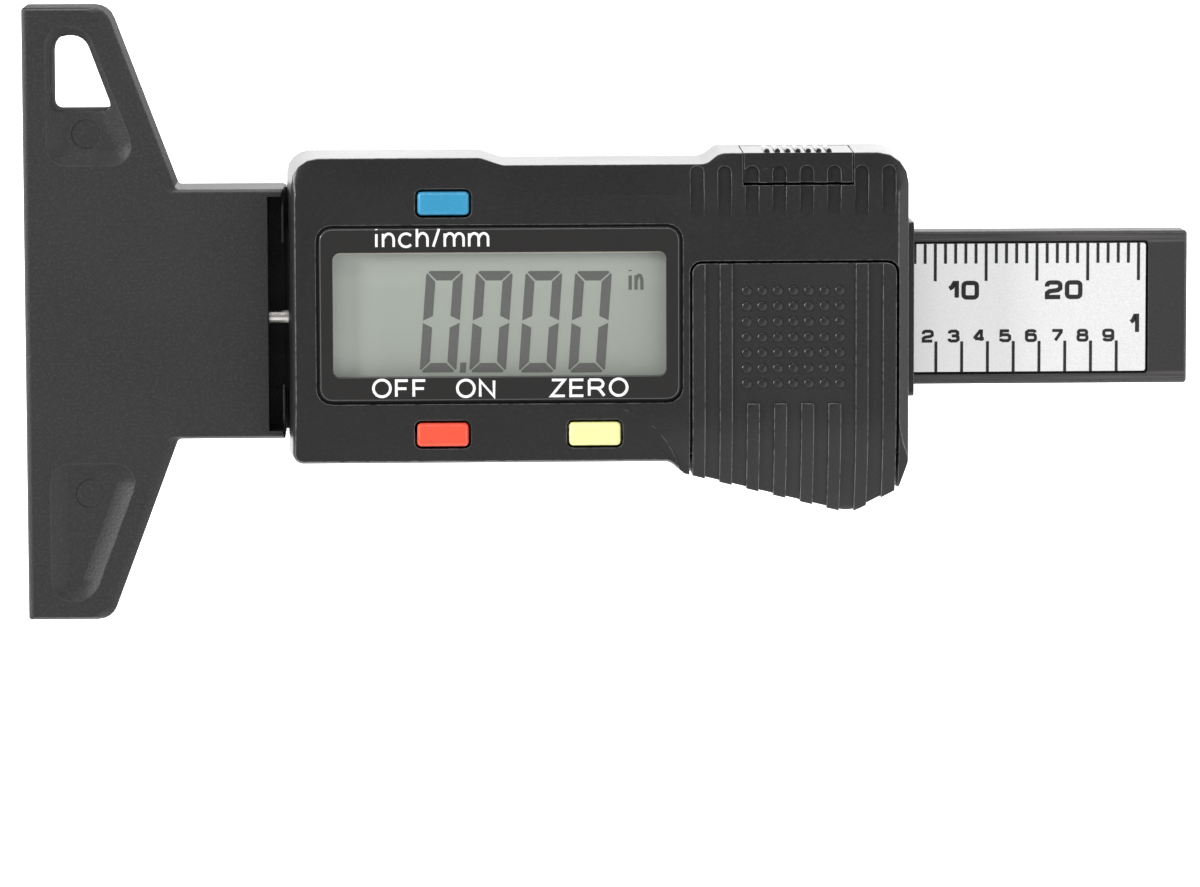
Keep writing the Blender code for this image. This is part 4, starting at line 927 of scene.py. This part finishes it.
# %% Geometry Nodes helper
class Grower(NodeTree):
    """A geometry tree with named inputs, which grows a mesh."""

    def __init__(self, name, inputs):
        super().__init__(bpy.data.node_groups.new(name, "GeometryNodeTree"))
        ports = self.tree.interface
        self.keys = {}
        for label, kind in inputs.items():
            socket = ports.new_socket(name=label, in_out="INPUT", socket_type="NodeSocket" + kind)
            self.keys[label] = socket.identifier
        ports.new_socket(name="Geometry", in_out="OUTPUT", socket_type="NodeSocketGeometry")
        source = self.tree.nodes.new("NodeGroupInput")
        self.take = {label: Wire(self, source.outputs[label]) for label in inputs}
        self.end = self.tree.nodes.new("NodeGroupOutput")

    def finish(self, geometry):
        solid = self.node("GeometryNodeRealizeInstances", inputs={"Geometry": geometry})
        dressed = {"Geometry": solid, "Material": self.take["Material"]}
        self.plug(self.end.inputs[0], self.node("GeometryNodeSetMaterial", inputs=dressed))

    def grow(self, values):
        """The mesh that the tree makes with these values of its inputs."""
        seed = new_object(self.tree.name, bpy.data.meshes.new(self.tree.name))
        step = seed.modifiers.new("nodes", "NODES")
        step.node_group = self.tree
        for label, value in values.items():
            step[self.keys[label]] = value
        return baked(seed)


print("geometry helper ready")

# %% Tree of the scale's marks
marks = Grower("scale_marks", {"Count": "Int", "Pitch": "Float", "Width": "Float", "Short": "Float",
                               "Long": "Float", "Every": "Int", "Thick": "Float", "Hang": "Float",
                               "Start": "Vector", "Material": "Material"})
take = marks.take
points = marks.node("GeometryNodeMeshLine", inputs={"Count": take["Count"], "Start Location": take["Start"],
                                                    "Offset": marks.vector(x=take["Pitch"])})
between = marks.node("GeometryNodeInputIndex") % take["Every"] > 0.5
length = marks.node("GeometryNodeSwitch", {"input_type": "FLOAT"},
                    {"Switch": between, "False": take["Long"], "True": take["Short"]})
shift = marks.vector(y=length * 0.5 * take["Hang"])
shifted = marks.node("GeometryNodeSetPosition", inputs={"Geometry": points, "Offset": shift})
stroke_size = marks.vector(take["Width"], length, take["Thick"])
strokes = marks.node("GeometryNodeInstanceOnPoints",
                     inputs={"Points": shifted, "Instance": marks.node("GeometryNodeMeshCube"),
                             "Scale": stroke_size})
marks.finish(strokes)
print("inputs of the marks:", list(marks.keys))

# %% Millimetres and tenths of an inch
plate_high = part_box("scale_plate")[1]
MILLIMETRE = 0.001
TENTH_INCH = 0.00254
MM_ZERO = FACE_X + 0.08402
INCH_FIRST = FACE_X + 0.08656
MM_COUNT = 26
TENTH_COUNT = 9
MARK_EDGE = 0.0063
mark_height = plate_high.z + PRINT_THICK / 2 + LIFT
shared = {"Width": 0.00029, "Every": 5, "Thick": PRINT_THICK, "Material": scale_black}
millimetres = marks.grow({**shared, "Count": MM_COUNT, "Pitch": MILLIMETRE, "Short": 0.00194,
                          "Long": 0.00366, "Hang": -1.0, "Start": (MM_ZERO, MARK_EDGE, mark_height)})
add_piece("marks_millimetre", millimetres, scale_black, "ruler")
tenths = marks.grow({**shared, "Count": TENTH_COUNT, "Pitch": TENTH_INCH, "Short": 0.0030,
                     "Long": 0.0030, "Hang": 1.0, "Start": (INCH_FIRST, -MARK_EDGE, mark_height)})
add_piece("marks_tenth_inch", tenths, scale_black, "ruler")
print("marks:", MM_COUNT, "millimetres,", TENTH_COUNT, "tenths of an inch")

# %% Figures of the scale
CENTIMETRE_HEIGHT = 0.00186
CENTIMETRE_STROKE = 0.00043
TENTH_HEIGHT = 0.00127
TENTH_STROKE = 0.00030
TENTH_SHIFT = 0.00139
INCH_HEIGHT = 0.00200
INCH_STROKE = 0.00040
figure_low = plate_high.z + LIFT

figures = bmesh.new()
for text, left in (("10", 0.09020), ("20", 0.09981)):
    write(figures, text, (FACE_X + left, 0.00080), CENTIMETRE_HEIGHT, CENTIMETRE_STROKE, figure_low,
          FIGURES, gap=0.13)
for tenth in range(1, TENTH_COUNT):
    tenth_corner = (INCH_FIRST + tenth * TENTH_INCH - TENTH_SHIFT, -0.00341)
    write(figures, str(tenth + 1), tenth_corner, TENTH_HEIGHT, TENTH_STROKE, figure_low, FIGURES)
write(figures, "1", (FACE_X + 0.10810, -0.00268), INCH_HEIGHT, INCH_STROKE, figure_low, FIGURES, wide=0.82)
add_print("scale_figures", figures, scale_black, "ruler")

# %% [markdown]
# ## The silver plate
# The plate is matt silver foil with a fine, even sparkle. A fine noise moves its shade and its
# roughness a little, so it neither mirrors nor looks like paper. Painted light and shade make it
# paler near the housing and darker over its last two centimetres, as in the photograph.

# %% Silver scale plate
FADE_START = -0.021
FADE_END = -0.001

silver = Paint("scale_silver_foil", grey(0.88), 0.55, 0.10)
sparkle = silver.noise(silver.place(), 6500.0, 3.0, 0.7)
drift = silver.noise(silver.place(), 130.0)
# Painted shade over the plate's last two centimetres, and painted light towards the housing.
painted_shade_to_end = silver.axes(silver.place(plate_high))[0].rise(FADE_START, FADE_END)
bright = silver.mix(painted_shade_to_end, grey(0.99), grey(0.80))
shaded = silver.mix(painted_shade_to_end, grey(0.89), grey(0.66))
silver.feed({"Base Color": silver.mix(sparkle.rise(0.3, 0.75), shaded, bright),
             "Roughness": 0.52 + (sparkle - 0.5) * 0.3 + (drift - 0.5) * 0.1})
silver.bump(sparkle, 0.000004, 0.5)
finish(silver.material, "scale_plate")
print("plate ends in mm from the face:", round((plate_high.x - FACE_X) * 1000, 1))

# %% [markdown]
# ## Dots on the battery cover
# Seven rows of seven small domes give the thumb a hold. One dome is a low ball of about a hundred
# faces, and the tree puts a copy on each point of a grid.

# %% Grid of domes
DOMES_PER_ROW = 7
DOME_PITCH = 0.001505
DOME_MIDDLE = (FACE_X + 0.07450, -0.00199, 0.01512)

domes = Grower("grip_domes", {"Count": "Int", "Span": "Float", "Radius": "Float", "Rise": "Float",
                              "Centre": "Vector", "Material": "Material"})
take = domes.take
grid = domes.node("GeometryNodeMeshGrid", inputs={"Size X": take["Span"], "Size Y": take["Span"],
                                                  "Vertices X": take["Count"], "Vertices Y": take["Count"]})
moved = domes.node("GeometryNodeSetPosition", inputs={"Geometry": grid, "Offset": take["Centre"]})
ball = domes.node("GeometryNodeMeshUVSphere", inputs={"Segments": 16, "Rings": 8, "Radius": 1.0})
round_ball = domes.node("GeometryNodeSetShadeSmooth", inputs={"Geometry": ball})
dome_size = domes.vector(take["Radius"], take["Radius"], take["Rise"])
domes.finish(domes.node("GeometryNodeInstanceOnPoints",
                        inputs={"Points": moved, "Instance": round_ball, "Scale": dome_size}))

cover_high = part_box("battery_cover")[1]
dome_field = domes.grow({"Count": DOMES_PER_ROW, "Span": DOME_PITCH * (DOMES_PER_ROW - 1),
                         "Radius": 0.00052, "Rise": 0.00016, "Centre": DOME_MIDDLE,
                         "Material": cover_plastic})
add_piece("grip_domes", dome_field, cover_plastic, "cell_door")
print("domes:", DOMES_PER_ROW ** 2, "on a cover whose front is at mm", round(cover_high.z * 1000, 2))

# %% [markdown]
# ## Screws on the back
# Six screws hold the gauge together. Each has a low domed head with a cross recess. One geometry
# tree makes a screw from its sizes: a cylinder is trimmed by a large sphere, which leaves the
# dome, two bars cut the cross, and a thin cylinder is the shank.

# %% Screw tree
ARM_SHARE = 1.25

screw = Grower("cross_screw", {"Head": "Float", "Shank": "Float", "Thick": "Float", "Length": "Float",
                               "Dome": "Float", "Slot": "Float", "Sink": "Float", "Place": "Vector",
                               "Material": "Material"})
take = screw.take


def moved_by(geometry, vector):
    return screw.node("GeometryNodeTransform", inputs={"Geometry": geometry, "Translation": vector})


disc = screw.node("GeometryNodeMeshCylinder",
                  inputs={"Vertices": 40, "Radius": take["Head"], "Depth": take["Thick"]})
disc = moved_by(disc, screw.vector(z=take["Thick"] * 0.5))
ball = screw.node("GeometryNodeMeshUVSphere", inputs={"Segments": 64, "Rings": 96, "Radius": take["Dome"]})
ball = moved_by(ball, screw.vector(z=take["Dome"]))
head = screw.node("GeometryNodeMeshBoolean", {"operation": "INTERSECT", "solver": "EXACT"},
                  {"Mesh": [disc, ball]})
arm = take["Head"] * ARM_SHARE
for bar_x, bar_y in ((arm, take["Slot"]), (take["Slot"], arm)):
    bar = screw.node("GeometryNodeMeshCube", inputs={"Size": screw.vector(bar_x, bar_y, take["Sink"])})
    head = screw.node("GeometryNodeMeshBoolean", {"operation": "DIFFERENCE", "solver": "EXACT"},
                      {"Mesh 1": head, "Mesh 2": bar})
shank = screw.node("GeometryNodeMeshCylinder", inputs={"Vertices": 24, "Radius": take["Shank"],
                                                       "Depth": take["Length"] - take["Thick"]})
shank = moved_by(shank, screw.vector(z=(take["Length"] + take["Thick"]) * 0.5))
whole = screw.node("GeometryNodeJoinGeometry", inputs={"Geometry": [shank, head]})
screw.finish(moved_by(whole, take["Place"]))
print("inputs of the screw:", list(screw.keys))

# %% Six screws in their places
SCREW_SIZES = {"Shank": 0.00088, "Thick": 0.0010, "Dome": 0.0048, "Slot": 0.00060, "Sink": 0.0017}
BACK_SCREWS = ["base_screw_1", "base_screw_2"] + ["housing_screw_%d" % number for number in range(1, 5)]
for node in BACK_SCREWS:
    low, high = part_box(node)
    middle = (low + high) / 2
    mesh = screw.grow({**SCREW_SIZES, "Head": (high.x - low.x) / 2, "Length": high.z - low.z,
                       "Place": (middle.x, middle.y, low.z), "Material": screw_steel})
    piece = add_piece(node + "_cross", mesh, screw_steel, "housing")
    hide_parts(node)
finish(screw_steel, "board_screw_1", "board_screw_2", "stop_screw")
print("screws on the back:", len(BACK_SCREWS), "faces each:", len(mesh.polygons))

# %% [markdown]
# ## Inside the housing
# The parts behind the window and under the covers show when a cover is off. Each has the finish
# of the real thing: green solder mask, black epoxy, gold contacts, banded rubber strips. One
# function mixes two colours by a noise, which is enough for parts that are seen through a gap.

# %% Board, chip and small parts
BANDS = (1.0, 0.02, 0.02)


def mottled(name, colour, second, roughness, scale, stretch=(1.0, 1.0, 1.0)):
    paint = Paint(name, colour, roughness)
    pattern = paint.noise(paint.place(scale=stretch), scale, 3.0, 0.6)
    paint.feed({"Base Color": paint.mix(pattern.rise(0.35, 0.7), colour, second),
                "Roughness": roughness + (pattern - 0.5) * 0.15})
    paint.bump(pattern, 0.000002, 0.5)
    return paint.material


mask_green = mottled("solder_mask_green", (0.01, 0.12, 0.045), (0.015, 0.18, 0.06), 0.28, 900.0)
epoxy_black = mottled("chip_epoxy_black", (0.012, 0.012, 0.013), grey(0.03), 0.5, 4000.0)
holder_white = mottled("holder_white_plastic", (0.55, 0.55, 0.52), (0.66, 0.66, 0.63), 0.5, 700.0)
banded_rubber = mottled("banded_rubber_strip", (0.35, 0.09, 0.07), grey(0.03), 0.6, 9000.0, BANDS)
finish(mask_green, "circuit_board")
finish(epoxy_black, "control_chip")
finish(holder_white, "lcd_holder")
finish(banded_rubber, "contact_strip_lower", "contact_strip_upper")
finish(pin_steel, "probe_pin")
finish(spring_steel, "slide_spring")
finish(nickel, "positive_contact", "negative_contact")
finish(gold, "port_contact_1", "port_contact_2", "port_contact_3", "port_contact_4")
finish(cell_can, "battery")
finish(copper, "scale_grid")
finish(screw_steel, "unit_switch", "power_switch", "zero_switch")
print("materials so far:", len(bpy.data.materials))

# %% [markdown]
# ## Floor and light
# The gauge lies on a plain white table, which glows as a light table does. Four soft lamps and a
# pale room give the even light of a product photograph: the small lamp behind the upper edge
# draws the bright lines along it, and the room is paler near the table than overhead, as a light
# tent is.

# %% Table
TABLE_HALF = 1.5
TABLE_TOP = -0.0002

table_paint = Paint("light_table", grey(0.80), 0.7)
table_grain = table_paint.noise(table_paint.place(), 60.0)
table_paint.feed({"Roughness": 0.65 + table_grain * 0.1, "Emission Color": (1.0, 1.0, 1.0, 1.0),
                  "Emission Strength": 2.0})
table_form = bmesh.new()
bmesh.ops.create_grid(table_form, x_segments=1, y_segments=1, size=TABLE_HALF)
floor = new_object("table", mesh_of("table", table_form))
floor.data.materials.append(table_paint.material)
floor.location.z = TABLE_TOP
print("table in m:", TABLE_HALF * 2)


# %% Lamps, each aimed at the gauge
def lamp(name, place, size, watts, colour=(1.0, 1.0, 1.0)):
    light = bpy.data.lights.new(name, "AREA")
    light.shape = "RECTANGLE"
    light.size, light.size_y = size
    light.energy = watts
    light.color = colour
    item = new_object(name, light)
    item.location = place
    item.rotation_euler = (-Vector(place)).to_track_quat("-Z", "Y").to_euler()


lamp("lamp_right", place=(0.85, -0.25, 0.85), size=(1.3, 1.3), watts=6.5)
lamp("lamp_lower", place=(0.0, -0.80, 0.80), size=(1.8, 1.2), watts=2.6, colour=(0.98, 0.97, 1.0))
lamp("lamp_left", place=(-0.80, 0.25, 0.50), size=(0.30, 0.30), watts=7.5)
lamp("lamp_behind", place=(0.0, 0.75, 0.62), size=(0.5, 0.15), watts=1.8)
print("lamps:", len(bpy.data.lights))

# %% Room, paler near the table and darker overhead and behind
HEIGHT_STOPS = [(0.0, grey(0.85)), (0.7, grey(0.43)), (0.85, grey(0.31))]
BEHIND_SHARE = 0.8
HEIGHT_SHARE = 0.7

world = bpy.data.worlds.new("white_room")
world.use_nodes = True
room = NodeTree(world.node_tree)
_, behind, overhead = room.axes(room.node("ShaderNodeTexCoord", output="Generated"))
height = (overhead + behind.above(0.0) * BEHIND_SHARE) * HEIGHT_SHARE
shade = room.node("ShaderNodeValToRGB", {"stops": HEIGHT_STOPS}, {0: height})
room.plug(room.tree.nodes["Background"].inputs["Color"], shade)
bpy.context.scene.world = world
bpy.context.scene.view_settings.view_transform = "Standard"
print("stops of the room's ramp:", len(HEIGHT_STOPS))
